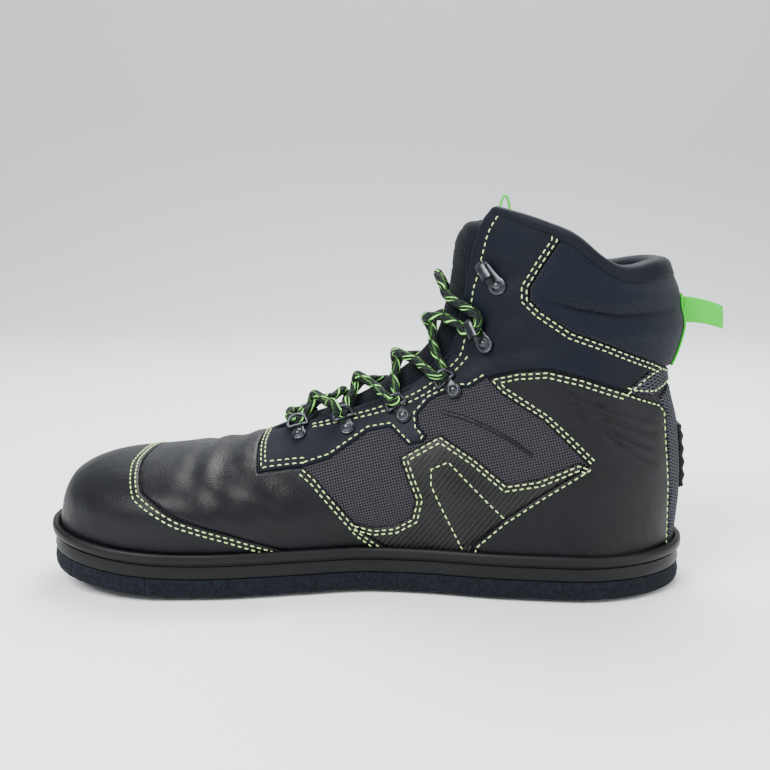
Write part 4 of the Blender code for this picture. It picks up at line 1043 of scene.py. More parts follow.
@dataclass(frozen=True)
class Metal(Finish):
    """Pressed metal, plated or polished: smooth, with fine handling marks."""

    def gloss(self) -> dict:
        """A bare metal surface."""
        return {"Metallic": 1.0}

    def surface(self, tree: Tree, place: Socket) -> tuple[Socket, Socket, Socket]:
        """Fine marks that change the roughness, and a worn colour in patches."""
        marks = noise(tree, place, 0.003, 4.0)
        colour = tint(tree, span(tree, marks, 0.5, 0.8), self.colour, self.pale_and_highlight)
        rough = span(tree, marks, 0.3, 0.7, self.roughness, self.roughness + 0.12)
        return colour, rough, bump(tree, marks, 0.00001)


FINISHES = [
    Leather("navy_nubuck", "#050912", "#0c121e", 0.66, specular=0.13, sheen=0.02, grain=0.0008,
            relief=0.00007),
    Leather("slate_leather", "#06070a", "#0f1115", 0.44, specular=0.17, grain=0.0010),
    Ribbed("ribbed_leather", "#080909", "#242624", 0.44, specular=0.20, relief=0.00006),
    Weave("mesh_fabric", "#030304", "#38363c", 0.80, open=-0.05, sheen=0.0),
    Weave("collar_knit", "#060a12", "#111824", 0.84, warp=(0.5, 0.35, 0.79),
          weft=(-0.5, -0.35, 0.79), pitch=0.0010, relief=0.00018, sheen=0.07),
    Weave("tongue_knit", "#05070c", "#0f141c", 0.90, warp=(0, 1, 0), weft=(0.6, 0, 0.8),
          pitch=0.0014, relief=0.0003, sheen=0.04),
    Weave("grey_webbing", "#101114", "#44474d", 0.80, warp=(0, 0.35, 0.94),
          weft=(0, -0.35, 0.94), pitch=0.0016, relief=0.0004, sheen=0.0),
    Weave("green_webbing", "#12942a", "#3cd832", 0.62, place=Place.ALONG, warp=(1, 0, 0),
          weft=(0, 1, 0), pitch=0.0011, relief=0.0003, open=-0.4),
    Finish("lime_thread", "#bedd86", "#e6f3c6", 0.6),
    Cord("lace_cord", "#050b09", "#11201a", 0.75, place=Place.ALONG),
    Felt("felt", "#06080d", "#141a24", 0.95),
    Finish("moulded_rubber", "#050607", "#0d0f11", 0.50),
    Metal("gunmetal", "#3a3c40", "#63666b", 0.26),
    Metal("steel", "#c4c6c8", "#e2e3e4", 0.22),
]

# Panels: side of the boot, the sections that each spans, its finish and its borders
Panel = namedtuple("Panel", "name side first last finish borders")
QUARTER = ["-facing_front", "facing_foot", "window", "counter_top", "strap_top", "pad_front",
           "above_front"]
COUNTER = ["counter_top", "counter_back", "foxing", "counter_window"]
MIDFOOT = ["foxing", "midfoot_top", "-vamp_foot"]
PANELS = [
    Panel("toe_cap", "both", 0, 5.4, "slate_leather", ["toe", "tip"]),
    Panel("vamp_overlay", "both", 2.1, 6.8, "slate_leather",
          ["vamp_foot", "vamp_top", "facing_front", "-toe"]),
    Panel("quarter", "each", 5, 15, "navy_nubuck", QUARTER),
    Panel("counter", "each", 6.5, 13.7, "slate_leather", COUNTER),
    Panel("midfoot", "each", 5.4, 10, "ribbed_leather", MIDFOOT),
    Panel("collar_pad", "both", 11.9, 15, "collar_knit",
          ["-pad_heel", "pad_front", "above_heel"]),
    Panel("heel_strap", "both", 11.9, 14, "grey_webbing",
          ["strap_top", "pad_heel", "-strap_foot"]),
    Panel("backstay", "both", 8.8, 13.7, "grey_webbing", ["stay"]),
]

# Rows of stitches: the borders that they follow, and how far to the left of them each row runs
Row = namedtuple("Row", "borders insets")
ROWS = [
    Row(["pad_front"], [0.0014, 0.0036]),
    Row(["counter_window", "counter_top"], [-0.0016, -0.0037]),
    Row(["counter_back"], [-0.0016]),
    Row(["foxing"], [-0.0018]),
    Row(["midfoot_top"], [0.0016, 0.0036]),
    Row(["vamp_foot", "vamp_top"], [0.0016, 0.0037]),
    Row(["facing_front"], [-0.0016, -0.0036]),
    Row(["facing_foot"], [0.0018]),
    Row(["window"], [0.0018]),
    Row(["toe"], [0.0018, 0.0040]),
    Row(["strap_top", "pad_heel"], [-0.0016]),
    Row(["strap_foot"], [0.0016]),
    Row(["inner_u"], [0.0]),
]


@dataclass
class Upper:
    """Upper with its lining, overlays, bindings and stitches.

    Attributes:
        last: The form that it lies on.
        clearance: Gap under each layer.
        thickness: Thickness of an overlay.
        rounding: Width over which an overlay's cut edge is rounded.
        seam: Gap between neighbouring overlays.
        spacing: Distance between points of a surface.
        pad_edge: Thickness of the collar pad at its stitched border.
        pad_swell: How much more it is away from it.
        pad_reach: Distance over which it swells.
        pad_inside: Thickness of the padding inside the collar.
        pad_foot: Section at which this padding starts.
        pad_rise: Sections over which it swells.
        pad_side: Climb up to which it is full.
        pad_fade: Climb over which it then fades.
        section_width: Average distance from section to section.
        girth: Average way from the sole to the throat.
        cloth: Thickness of the lining and of the band over the rim.
        tuck: How far the cut edge of an overlay is pressed in.
        net_gap: Least distance from the outline to a point of the net.
    """

    last: Last
    clearance: float = 0.0003
    thickness: float = 0.0010
    rounding: float = 0.0011
    seam: float = 0.0004
    spacing: float = 0.0020
    pad_edge: float = 0.0012
    pad_swell: float = 0.0035
    pad_reach: float = 0.008
    pad_inside: float = 0.0035
    pad_foot: float = 12.3
    pad_rise: float = 1.8
    pad_side: float = 0.42
    pad_fade: float = 0.3
    section_width: float = 0.032
    girth: float = 0.110
    cloth: float = 0.0005
    tuck: float = 0.0003
    net_gap: float = 0.0006

    def rows(self, first: float, last: float) -> Array:
        """Sections from first to last, a spacing apart on average."""
        count = int((last - first) * self.section_width / self.spacing) + 1
        return np.linspace(first, last, count)

    def climbs(self) -> Array:
        """Climbs from the sole to the edge of the throat."""
        return np.linspace(0, 1, int(self.girth / self.spacing) + 1)

    def pad(self, flat: Array) -> Array:
        """Thickness of the collar pad: thin at its border, and swelling away from it."""
        line = border(["-pad_heel", "pad_front"])[:-1]
        gap, _ = distance(flat, flat_of(line, self.last))
        return self.pad_edge + self.pad_swell * (1 - np.exp(-gap / self.pad_reach))

    def cover(self, flat: Array) -> Array:
        """Height of the outer layer near the rim: the pad inside its border, else the quarter."""
        outline = flat_of(border(["-pad_heel", "pad_front", "above_heel"]), self.last)
        inside = within(flat.reshape(-1, 2), outline).reshape(flat.shape[:-1])
        return self.clearance + np.where(inside, self.pad(flat), self.thickness)

    def padding(self, climb: Array) -> Array:
        """Thickness of the padding inside the collar: full at the heel, none by the throat."""
        return self.pad_inside * ease(1 - np.clip((climb - self.pad_side) / self.pad_fade, 0, 1))

    def wall(self, finishes: dict) -> None:
        """Outer wall of the upper, and the lining with its padding inside the collar."""
        outer = Mesh()
        lining = Mesh()
        for lateral in (False, True):
            grid_s, grid_c = np.meshgrid(self.rows(0, COLLAR), self.climbs(), indexing="ij")
            points = self.last.skin(grid_s, grid_c, lateral, np.zeros(grid_s.shape))
            up = ease(np.clip((grid_s - self.pad_foot) / self.pad_rise, 0, 1))
            depth = self.last.wall + 2 * self.clearance + self.padding(grid_c) * up
            inner = self.last.skin(grid_s, grid_c, lateral, -depth)
            way = slice(None, None, -1) if lateral else slice(None)
            outer.grid(points[:, way])
            lining.grid(inner[:, way][::-1])
        piece = thicken(outer.finish("upper_wall", weld=1e-6), self.last.wall)
        dress(piece, finishes, "mesh_fabric", ["upper"])
        piece = thicken(lining.finish("lining", weld=1e-6), self.cloth)
        dress(piece, finishes, "tongue_knit", [])

    def cut(self, panel: Panel) -> tuple[Array, float]:
        """Side view outline of a panel, half a seam inside its borders.

        Returns:
            The outline, and 1 where its inside lies on its left or -1 on its right.
        """
        outline = flat_of(border(panel.borders), self.last)
        arm = outline - outline.mean(axis=0)
        after = np.roll(arm, -1, axis=0)
        way = np.sign(np.sum(arm[:, 0] * after[:, 1] - after[:, 0] * arm[:, 1]))
        return offset(outline, way * self.seam / 2, True), way

    def net(self, panel: Panel, cut: Array, way: float) -> tuple[Array, Array]:
        """Net of a panel: a Delaunay net of points laid out in section and climb.

        Its points are a grid, the outline, two more outlines drawn in for the rounded edge, and
        lines along the creases.

        Returns:
            Points as rows of section and climb, and the triangles between them.
        """
        places, edges, count = [], [], 0
        for inset in (0, 0.3 * self.rounding, self.rounding):
            for run in self.last.trace(looped(offset(cut, way * inset, True))):
                places.append(run)
                edges += [(count + step, count + step + 1) for step in range(len(run) - 1)]
                count += len(run)
        layout = np.meshgrid(self.rows(panel.first, panel.last), self.climbs(), indexing="ij")
        places.append(self.inner(np.stack(layout, -1).reshape(-1, 2), cut, self.net_gap))
        for crease in CREASES:
            line = flat_of(crease.line, self.last)
            for side in (-1.6, -0.8, 0, 0.8, 1.6):
                runs = self.last.trace(offset(line, side * crease.width, False))
                if runs:
                    places.append(self.inner(np.concatenate(runs), cut, 2 * self.net_gap))
        scale = np.array([self.section_width, self.girth])
        flat_net = (np.concatenate(places) * scale).tolist()
        net, _, faces, *_ = delaunay_2d_cdt(flat_net, edges, [], 0, 1e-6)
        net = np.clip(np.array([tuple(point) for point in net]) / scale, 0, [COLLAR, 1])
        faces = np.array(faces)
        faces = faces[within(self.flat(net[faces].mean(axis=1)), cut)]
        used, faces = np.unique(faces, return_inverse=True)
        return net[used], faces.reshape(-1, 3)

    def inner(self, places: Array, cut: Array, gap: float) -> Array:
        """Places in section and climb that lie inside an outline, further from it than gap."""
        flat = self.flat(places)
        return places[within(flat, cut) & (distance(flat, looped(cut))[0] > gap)]

    def panel(self, name: str, panel: Panel, laterals: list[bool]) -> Piece:
        """One overlay, laid on the form inside its side view outline.

        The lift is a quarter round over the distance to the outline, and full beyond it.

        Args:
            name: Name of the piece.
            panel: What it is.
            laterals: Sides that it is laid on, true for the lateral side.
        """
        cut, way = self.cut(panel)
        net, faces = self.net(panel, cut, way)
        flat = self.flat(net)
        full = self.pad(flat) if panel.name == "collar_pad" else self.thickness
        edge = np.clip(distance(flat, looped(cut))[0] / self.rounding, 0, 1)
        lift = self.clearance + full * np.sqrt(1 - (1 - edge) ** 2) - self.tuck * (1 - edge)
        mesh = Mesh()
        for lateral in laterals:
            points = self.last.skin(net[:, 0], net[:, 1], lateral, lift)
            corner = points[faces]
            facing = np.cross(corner[:, 1] - corner[:, 0], corner[:, 2] - corner[:, 0])
            out = self.last.normal(net[:, 0], net[:, 1], lateral)[faces[:, 0]]
            backwards = np.sum(facing * out) < 0
            mesh.add(points, faces[:, ::-1] if backwards else faces)
        return thicken(mesh.finish(name, weld=2e-6), 2 * self.clearance)

    def flat(self, net: Array) -> Array:
        """Side view places of sections and climbs."""
        return self.last.form(net[:, 0], self.last.turn_at(net[:, 0], net[:, 1], False))[:, (0, 2)]

    def overlays(self, finishes: dict) -> None:
        """All overlays, one piece for both sides or one for each."""
        for panel in PANELS:
            sides = {panel.name: [False, True]}
            if panel.side == "each":
                sides = {panel.name + "_medial": [False], panel.name + "_lateral": [True]}
            for name, laterals in sides.items():
                sheet = self.panel(name + "_sheet", panel, laterals)
                piece = dress(sheet, finishes, panel.finish, [name])

    def bindings(self, finishes: dict) -> None:
        """Binding along the throat's edges, and the folded band over the collar's rim."""
        way = np.linspace(-1, 1, 281)
        lateral = way < 0
        section = THROAT + (COLLAR - THROAT) * np.abs(way) ** 1.6
        rim = np.ones(way.shape)
        path = self.last.joined(lateral, section, rim, -0.0004 * rim)
        ups = [self.last.normal(section, rim, side) for side in (True, False)]
        up = np.where(lateral[:, None], *ups)
        mesh = Mesh()
        mesh.grid(sweep(path, up, 0.0013, 12, 1.45), round_v=True, caps=True)
        dress(mesh.finish("throat_binding", recalculate=True), finishes, "navy_nubuck", [])
        way = np.linspace(-1, 1, 241)
        band = [self.rim_line(way, section, lift) for section, lift in (
            (14.66, -0.0004), (14.70, 0.0004), (14.85, 0.0006), (15.0, 0.0006))]
        outer, inner = band[-1], self.rim_line(way, 15.0, None)
        up = unit(outer - self.rim_line(way, 14.9, 0.0006))
        for angle in np.linspace(0, pi, 9)[1:-1]:
            height = 0.42 * np.linalg.norm(outer - inner, axis=1, keepdims=True) * sin(angle)
            band.append((outer + inner) / 2 + (outer - inner) / 2 * cos(angle) + up * height)
        band += [inner] + [self.rim_line(way, section, None) for section in (14.8, 14.5)]
        mesh = Mesh()
        mesh.grid(np.stack(band))
        dress(thicken(mesh.finish("collar_binding"), self.cloth), finishes, "navy_nubuck", [])

    def rim_line(self, way: Array, section: float, lift: float | None) -> Array:
        """Line round the collar from the lateral to the medial edge of the throat.

        Args:
            way: From -1 at the lateral edge over 0 at the heel to 1 at the medial edge.
            section: Section that the line runs on.
            lift: Height over the outer layer, or None for the lining's face.
        """
        climb = np.abs(way)
        rows = np.full(way.shape, section)
        flat = self.flat(np.stack([rows, climb], -1))
        if lift is None:
            lifts = -self.last.wall - 0.0010 - self.padding(climb)
        else:
            step = np.convolve(np.pad(self.cover(flat), 6, "edge"), np.ones(13) / 13, "valid")
            lifts = lift + step
        return self.last.joined(way < 0, rows, climb, lifts)

    def stitches(self, finishes: dict) -> None:
        """Rows of lime stitches on both sides: short bars, their ends drawn into the leather."""
        for lateral, name in ((False, "stitches_medial"), (True, "stitches_lateral")):
            thread = Thread()
            for row in ROWS:
                line = flat_of(border(row.borders), self.last)
                for inset in row.insets:
                    for run in self.last.trace(offset(line, inset, False), 0.001):
                        thread.sew(self.last, run, lateral, self.thickness + self.clearance)
            section = np.linspace(THROAT + 0.9, COLLAR - 0.35, 300)
            for inset, top in ((0.0034, COLLAR), (0.0055, 9.4)):
                half = self.last.throat_half(section) + inset
                climb = self.last.climb_at(section, half)
                climb = 0.5 + (climb - 0.5) / (self.last.edge(section) - 0.5) / 2
                run = np.stack([section, climb], -1)[section < top]
                thread.sew(self.last, run, lateral, self.thickness + self.clearance)
            dress(thread.mesh.finish(name), finishes, "lime_thread", [])

    def piping(self, finishes: dict) -> None:
        """Dark curved seam across the large window, on each side."""
        mesh = Mesh()
        for lateral in (False, True):
            for run in self.last.trace(flat_of(BORDERS["seam"], self.last)):
                path = self.last.skin(run[:, 0], run[:, 1], lateral, np.full(len(run), 0.0002))
                up = self.last.normal(run[:, 0], run[:, 1], lateral)
                mesh.grid(sweep(path, up, 0.0010, 8, 0.45), round_v=True, caps=True)
        dress(mesh.finish("window_seam", recalculate=True), finishes, "slate_leather", [])


@dataclass
class Thread:
    """Stitches gathered into one mesh.

    Attributes:
        length: Length of a stitch.
        pitch: From stitch to stitch.
        radius: Half thickness of the thread.
        sides: Points round it.
        mesh: The stitches so far.
    """

    length: float = 0.0024
    pitch: float = 0.0034
    radius: float = 0.00032
    sides: int = 6
    mesh: Mesh = field(default_factory=Mesh)

    def sew(self, last: Last, run: Array, lateral: bool, lift: float) -> None:
        """Sews along a line of sections and climbs.

        Each stitch is a straight bar: a circle carried along it whose middle arches out of the
        leather and whose ends dip into it.

        Args:
            last: The form.
            run: Rows of section and climb.
            lateral: Whether it lies on the lateral side.
            lift: Height over the form.
        """
        line = last.skin(run[:, 0], run[:, 1], lateral, np.full(len(run), lift))
        length = lengths(line)
        count = int(length[-1] / self.pitch)
        if count < 2:
            return
        start = np.linspace(0, length[-1] - self.length, count)
        arch = self.radius * np.array([-1.0, 0.25, 0.5, 0.25, -1.0])
        taper = self.radius * np.array([0.6, 1, 1, 1, 0.6])
        at = start[:, None] + np.linspace(0, self.length, len(arch))
        section = np.interp(at, length, run[:, 0])
        climb = np.interp(at, length, run[:, 1])
        path = last.skin(section, climb, lateral, np.full(at.shape, lift))
        up = last.normal(section, climb, lateral)
        path = path + up * arch[:, None]
        across = np.cross(unit(path[:, -1:] - path[:, :1]), up)
        angle = circle(self.sides)[:, None]
        ring = up[:, :, None] * np.cos(angle) + across[:, :, None] * np.sin(angle)
        points = path[:, :, None] + ring * taper[:, None, None]
        quads = np.roll(net_quads(len(arch), self.sides, round_v=True)[:, ::-1], 1, axis=1)
        quads = quads + (np.arange(count) * len(arch) * self.sides)[:, None, None]
        self.mesh.add(points.reshape(-1, 3), quads.reshape(-1, 4))


@dataclass
class Sole:
    """Midsole with its rolled lip, felt outsole and studs.

    Attributes:
        last: Sole outline and toe spring.
        felt: Thickness of the felt.
        stand: Height of the felt above the floor, on its studs.
        midsole: Thickness of the midsole.
        lip: Height of its lip above the feather edge.
        points: Points along one side of the outline.
    """

    last: Last
    felt: float = 0.009
    stand: float = 0.0018
    midsole: float = 0.0108
    lip: float = 0.0018
    points: int = 150

    def ring(self, inset: float, level: float) -> Array:
        """Closed outline, drawn in by inset: medial side toe to heel, then lateral side back."""
        along = (1 - np.cos(np.linspace(0, pi, self.points))) / 2
        x = self.last.outline_x(along, inset)
        half = self.last.outline_half(along, inset)
        middle = -self.last.ball_width * self.last.lean(along)
        z = level + self.last.spring(x)
        sides = np.stack([x, middle - half, z], -1), np.stack([x, middle + half, z], -1)[::-1]
        return np.concatenate(sides) + self.last.shift

    def slab(self, name: str, levels: list) -> Piece:
        """Solid between outlines, one for each inset and level, closed by strips across."""
        mesh = Mesh()
        rings = np.stack([self.ring(inset, level) for inset, level in levels])
        mesh.grid(rings, round_v=True)
        near = np.arange(self.points - 1)
        across = 2 * self.points - 1 - near
        strip = np.stack([near, near + 1, across - 1, across], -1)
        top = (len(levels) - 1) * 2 * self.points
        mesh.faces += strip.tolist() + (strip[:, ::-1] + top).tolist()
        return mesh.finish(name, weld=1e-6, recalculate=True)

    def build(self, finishes: dict) -> None:
        """Felt and midsole, in their rounded profiles."""
        base = self.stand
        top = base + self.felt
        piece = self.slab("felt_sole", [
            (0.0040, base + 0.0002), (0.0015, base), (0.0006, base + 0.0004),
            (0.0001, base + 0.0014), (-0.0002, base + 0.0040), (0.0002, base + 0.0065),
            (0.0004, top)])
        dress(piece, finishes, "felt", ["felt_outsole"])
        foot = top + 0.0003
        lip = foot + self.midsole + self.lip
        groove = foot + 0.62 * self.midsole
        piece = self.slab("midsole_rand", [
            (0.0008, foot), (0.0002, foot + 0.0005), (0.0000, foot + 0.0014),
            (0.0004, foot + 0.0040), (0.0007, groove - 0.0006), (0.0013, groove - 0.0003),
            (0.0013, groove + 0.0002), (0.0002, groove + 0.0005),
            (-0.0009, groove + 0.0013), (-0.0012, groove + 0.0026), (-0.0010, lip - 0.0010),
            (-0.0003, lip - 0.0002), (0.0008, lip + 0.0001), (0.0020, lip - 0.0003),
            (0.0031, lip - 0.0016), (0.0031, lip - 0.0030)])
        dress(piece, finishes, "moulded_rubber", ["midsole"])
        for name in sorted(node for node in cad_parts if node.startswith("stud_")):
            self.stud(name, finishes)
        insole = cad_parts["insole"]
        insole.data.materials.clear()
        insole.data.materials.append(finishes["tongue_knit"])

    def stud(self, name: str, finishes: dict) -> None:
        """Turned steel stud in its node's place: a dished flange with a raised pin."""
        low, high = (np.array(corner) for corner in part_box(name))
        middle = (low + high) / 2
        height = high[2] - low[2]
        radius = (high[1] - low[1]) / 2
        profile = np.array([
            (0, 0), (0.28, 0), (0.34, 0.04), (0.38, 0.12), (0.40, 0.46), (0.46, 0.52),
            (0.74, 0.44), (0.90, 0.46), (0.98, 0.56), (1.0, 0.70), (1.0, 1.0), (0, 1)])
        mesh = Mesh()
        mesh.grid(lathe(profile * [radius, height], 28) + [middle[0], middle[1], low[2]],
                  round_v=True)
        piece = mesh.finish(name + "_turned", weld=1e-7, recalculate=True)
        dress(piece, finishes, "steel", [name])


@dataclass
class Tongue:
    """Padded tongue that bridges the throat, with channels sewn across it and a round edge.

    Attributes:
        last: The form.
        width: Full width.
        thickness: Thickness at its foot and edges.
        top_thickness: Thickness in the middle of its top.
        stand: Height of its rounded top over the collar.
        lean: How far its top leans back.
        tuck: Gap between the wall and the part under it.
        bridge: Share of the throat over which it bulges out.
        foot: Section of its lower end.
        bend: Section at which it starts to lean back.
        foot_share: Width of its lower end, as a share of the full width.
        growth: How much this share grows from section to section.
        taper: How much it narrows at the top, as a share of its width.
        taper_reach: Sections over which it narrows.
        channel: Depth of the channels.
        channel_pitch: Sections from channel to channel.
        rows: Rows of points up each face.
        columns: Points across each face.
    """

    last: Last
    width: float = 0.068
    thickness: float = 0.0045
    top_thickness: float = 0.009
    stand: float = 0.004
    lean: float = 0.011
    tuck: float = 0.0013
    bridge: float = 0.8
    foot: float = THROAT - 0.4
    bend: float = COLLAR - 2.5
    foot_share: float = 0.6
    growth: float = 0.1
    taper: float = 0.14
    taper_reach: float = 0.5
    channel: float = 0.0009
    channel_pitch: float = 0.9
    rows: int = 110
    columns: int = 49

    def build(self, finishes: dict) -> None:
        """Front and back as one closed surface: round it goes front, rim, back, rim."""
        section = np.linspace(self.foot, COLLAR, self.rows)
        across = np.sin(np.linspace(-1, 1, self.columns) * pi / 2)
        grid_s, grid_a = np.meshgrid(section, across, indexing="ij")
        share = np.clip(self.foot_share + self.growth * (grid_s - self.foot), 0, 1)
        up = np.clip((grid_s - self.foot) / (COLLAR - self.foot), 0, 1)
        near_top = np.clip((grid_s - (COLLAR - self.taper_reach)) / self.taper_reach, 0, 1)
        half = np.abs(grid_a) * (self.width / 2 * share * (1 - self.taper * near_top ** 2))
        climb = self.last.climb_at(grid_s, half)
        turn = np.where(grid_a < 0, climb, 2 - climb)
        gap = self.last.throat_half(grid_s)
        bridge = 1 - np.clip(half / np.maximum(self.bridge * gap, SLIVER), 0, 1) ** 2
        bridge = bridge * np.clip(2 * gap / self.last.throat_gap - 0.4, 0, 1)
        depth = (self.last.wall + self.tuck) * (1 - bridge) + SLIVER
        thick = self.thickness + (self.top_thickness - self.thickness) * up ** 2
        thick = thick - (thick - self.thickness) * grid_a ** 2
        bend = np.clip((grid_s - self.bend) / (COLLAR - self.bend), 0, 1)
        depth = depth + self.lean * bend ** 2 * (1 - grid_a ** 2)
        wave = np.clip(np.cos(grid_s * 2 * pi / self.channel_pitch) - 0.6, 0, 1)
        channel = self.channel * wave * (1 - grid_a ** 4)
        normal = self.last.outward(grid_s, turn)
        base = self.last.form(grid_s, turn) + self.last.shift
        round_edge = 0.5 * thick * np.abs(grid_a) ** 8
        outer = base - normal * (depth + channel + round_edge)[..., None]
        inner = base - normal * (depth + thick - round_edge)[..., None]
        rise = unit(outer[-1] - outer[-2]) * self.stand
        deep = (inner[-1] - outer[-1]) / 2
        shares = (0.35, 0.7, 0.9)
        rim = [edge + rise * share + deep * side * (1 - cos(share * pi / 2))
               for edge, side, order in ((outer[-1], 1, shares), (inner[-1], -1, shares[::-1]))
               for share in order]
        mesh = Mesh()
        mesh.grid(np.concatenate([outer, np.stack(rim), inner[::-1]]), round_u=True)
        rows = len(outer) * 2 + len(rim)
        for column in (0, self.columns - 1):
            ring = np.arange(rows) * self.columns + column
            front, back = ring[:rows // 2], ring[::-1][:rows // 2]
            mesh.faces += np.stack([front[:-1], front[1:], back[1:], back[:-1]], -1).tolist()
        piece = mesh.finish("tongue_padded", weld=1e-6, recalculate=True)
        dress(piece, finishes, "tongue_knit", ["tongue"])
        middle = self.columns // 2
        self.loop(outer[-1, middle] + rise[middle], inner[-1, middle] + rise[middle], finishes)

    def loop(self, front: Array, back: Array, finishes: dict) -> None:
        """Small webbing loop that stands on the tongue's top, an arch from front to back."""
        swing = np.linspace(-1, 1, 41)
        share = 0.42 + 0.42 * np.sin(swing * pi / 2)
        path = front + (back - front) * share[:, None]
        path[:, 2] = front[2] - 0.0012 + 0.0122 * np.cos(swing * pi / 2) ** 0.9
        webbing("tongue_pull", path, np.array([0, 0.00325, 0]), ["tongue_loop"], finishes)


def webbing(name: str, path: Array, across: Array, nodes: list[str],
            finishes: dict) -> None:
    """Band of webbing: a flat section with round edges carried along a path.

    Args:
        name: Name of the piece.
        path: Points along its middle.
        across: Half its width, as a vector or one for each point.
        nodes: Nodes that it stands for.
        finishes: Materials by name.
    """
    ahead = np.gradient(path, axis=0)
    across = np.broadcast_to(across, path.shape)
    normal = unit(np.cross(ahead, across))
    angle = circle(16)
    side = np.sign(np.cos(angle)) * np.abs(np.cos(angle)) ** 0.35
    lift = np.sign(np.sin(angle)) * np.abs(np.sin(angle)) ** 0.6 * 0.0006
    points = path[:, None] + across[:, None] * side[:, None] + normal[:, None] * lift[:, None]
    wide = np.linalg.norm(across, axis=1)[:, None] * side
    uv = np.stack([np.broadcast_to(lengths(path)[:, None], wide.shape), wide], -1)
    mesh = Mesh()
    mesh.grid(points, round_v=True, caps=True, uv=uv)
    dress(mesh.finish(name, recalculate=True), finishes, "green_webbing", nodes)


@dataclass
class Heel:
    """Pull loop on its tape down the back of the pad, and the lug low on the heel.

    Attributes:
        upper: The upper that they are sewn to.
        width: Width of the loop's webbing.
        reach: How far the loop stands out.
        span: Distance between its ends, side to side.
        drop: How far its outer end hangs.
        tape: Width of the tape.
        tape_thickness: Thickness of the tape.
        top: Height of the tape's upper end, as a share of the shaft height.
        foot: Height of its lower end, the same way.
        lug_foot: Section of the lug's lower end.
        lug_top: Section of its upper end.
        lug_half: Half its width.
        lug_base: Thickness of its rim.
        lug_swell: How much its middle stands out beyond the rim.
        rib: Height of its ribs.
        ribs: How many ribs it has.
    """

    upper: Upper
    width: float = 0.0125
    reach: float = 0.0195
    span: float = 0.007
    drop: float = 0.004
    tape: float = 0.0130
    tape_thickness: float = 0.0011
    top: float = 0.725
    foot: float = 0.520
    lug_foot: float = 10.9
    lug_top: float = 12.0
    lug_half: float = 0.008
    lug_base: float = 0.0010
    lug_swell: float = 0.0025
    rib: float = 0.0004
    ribs: int = 5

    def band(self, sections: Array, count: int, half: float) -> tuple:
        """Grid of a band down the heel.

        Returns:
            Sections, ways across from -1 at the medial edge to 1, and climbs.
        """
        grid_s, grid_w = np.meshgrid(sections, np.linspace(-1, 1, count), indexing="ij")
        climb = np.arcsin(np.abs(grid_w) * half / self.upper.last.fan(grid_s).widest) / pi
        return grid_s, grid_w, climb

    def build(self, finishes: dict) -> None:
        """Tape, loop and lug."""
        last = self.upper.last
        top = last.feather + self.top * last.shaft_height
        sections = np.linspace(12.4, COLLAR, 400)
        back = last.form(sections, 0.0)
        kept = (back[:, 2] <= top) & (back[:, 2] >= last.feather + self.foot * last.shaft_height)
        picked = np.linspace(0, kept.sum() - 1, 40).astype(int)
        grid_s, grid_w, climb = self.band(sections[kept][picked], 15, self.tape / 2)
        lift = self.upper.pad(last.form(grid_s, climb)[..., (0, 2)]) + 0.0006 + self.tape_thickness
        points = last.joined(grid_w >= 0, grid_s, climb, lift)
        height = np.broadcast_to(back[:, 2][kept][picked][:, None], grid_w.shape)
        uv = np.stack([height, grid_w * self.tape / 2], -1)
        mesh = Mesh()
        mesh.grid(points[:, ::-1], uv=uv[:, ::-1])
        piece = thicken(mesh.finish("heel_tape"), self.tape_thickness)
        dress(piece, finishes, "green_webbing", [])
        level = top - self.width / 2
        root = back[np.argmin(np.abs(back[:, 2] - level))]
        seat = root[0] + float(self.upper.pad(root[None, (0, 2)])[0]) + self.tape_thickness
        swing = np.linspace(-1, 1, 61)
        out = np.cos(swing * pi / 2)
        path = np.stack([seat + self.reach * out, self.span / 2 * np.sin(swing * pi / 2),
                         level - self.drop * out ** 2], -1) + last.shift
        tilt = np.stack([0 * out, 0.22 * out, 1 - 0.1 * out], -1)
        webbing("heel_pull", path, tilt * self.width / 2, ["heel_loop"], finishes)
        self.lug(finishes)

    def lug(self, finishes: dict) -> None:
        """Small ribbed rubber lug: a raised pad over the backstay with ribs across."""
        long = self.lug_top - self.lug_foot
        sections = np.linspace(self.lug_foot, self.lug_top, 45)
        grid_s, grid_w, climb = self.band(sections, 25, self.lug_half)
        middle = (self.lug_foot + self.lug_top) / 2
        edge = np.minimum(1 - np.abs(grid_w), (1 - np.abs(grid_s - middle) / (long / 2)) * 1.4)
        rib = self.rib * np.cos((grid_s - self.lug_foot) / long * 2 * self.ribs * pi)
        round_off = np.sqrt(1 - (1 - np.clip(edge * 6, 0, 1)) ** 2)
        lift = self.lug_base + (self.lug_swell + rib) * round_off
        mesh = Mesh()
        mesh.grid(self.upper.last.joined(grid_w >= 0, grid_s, climb, lift)[:, ::-1])
        piece = thicken(mesh.finish("heel_lug_ribbed"), self.lug_base)
        dress(piece, finishes, "moulded_rubber", ["heel_lug"])


# Fittings along the throat: kind, section and turn in its own plane
Fitting = namedtuple("Fitting", "name kind section turn")
FITTINGS = [
    Fitting("eyelet_1", "ring", 5.65, 0), Fitting("eyelet_2", "ring", 6.45, 0),
    Fitting("eyelet_3", "ring", 7.37, 0), Fitting("eyelet_4", "ring", 8.47, 0),
    Fitting("hook_1", "hook", 10.35, 16), Fitting("hook_2", "hook", 12.40, 20)]


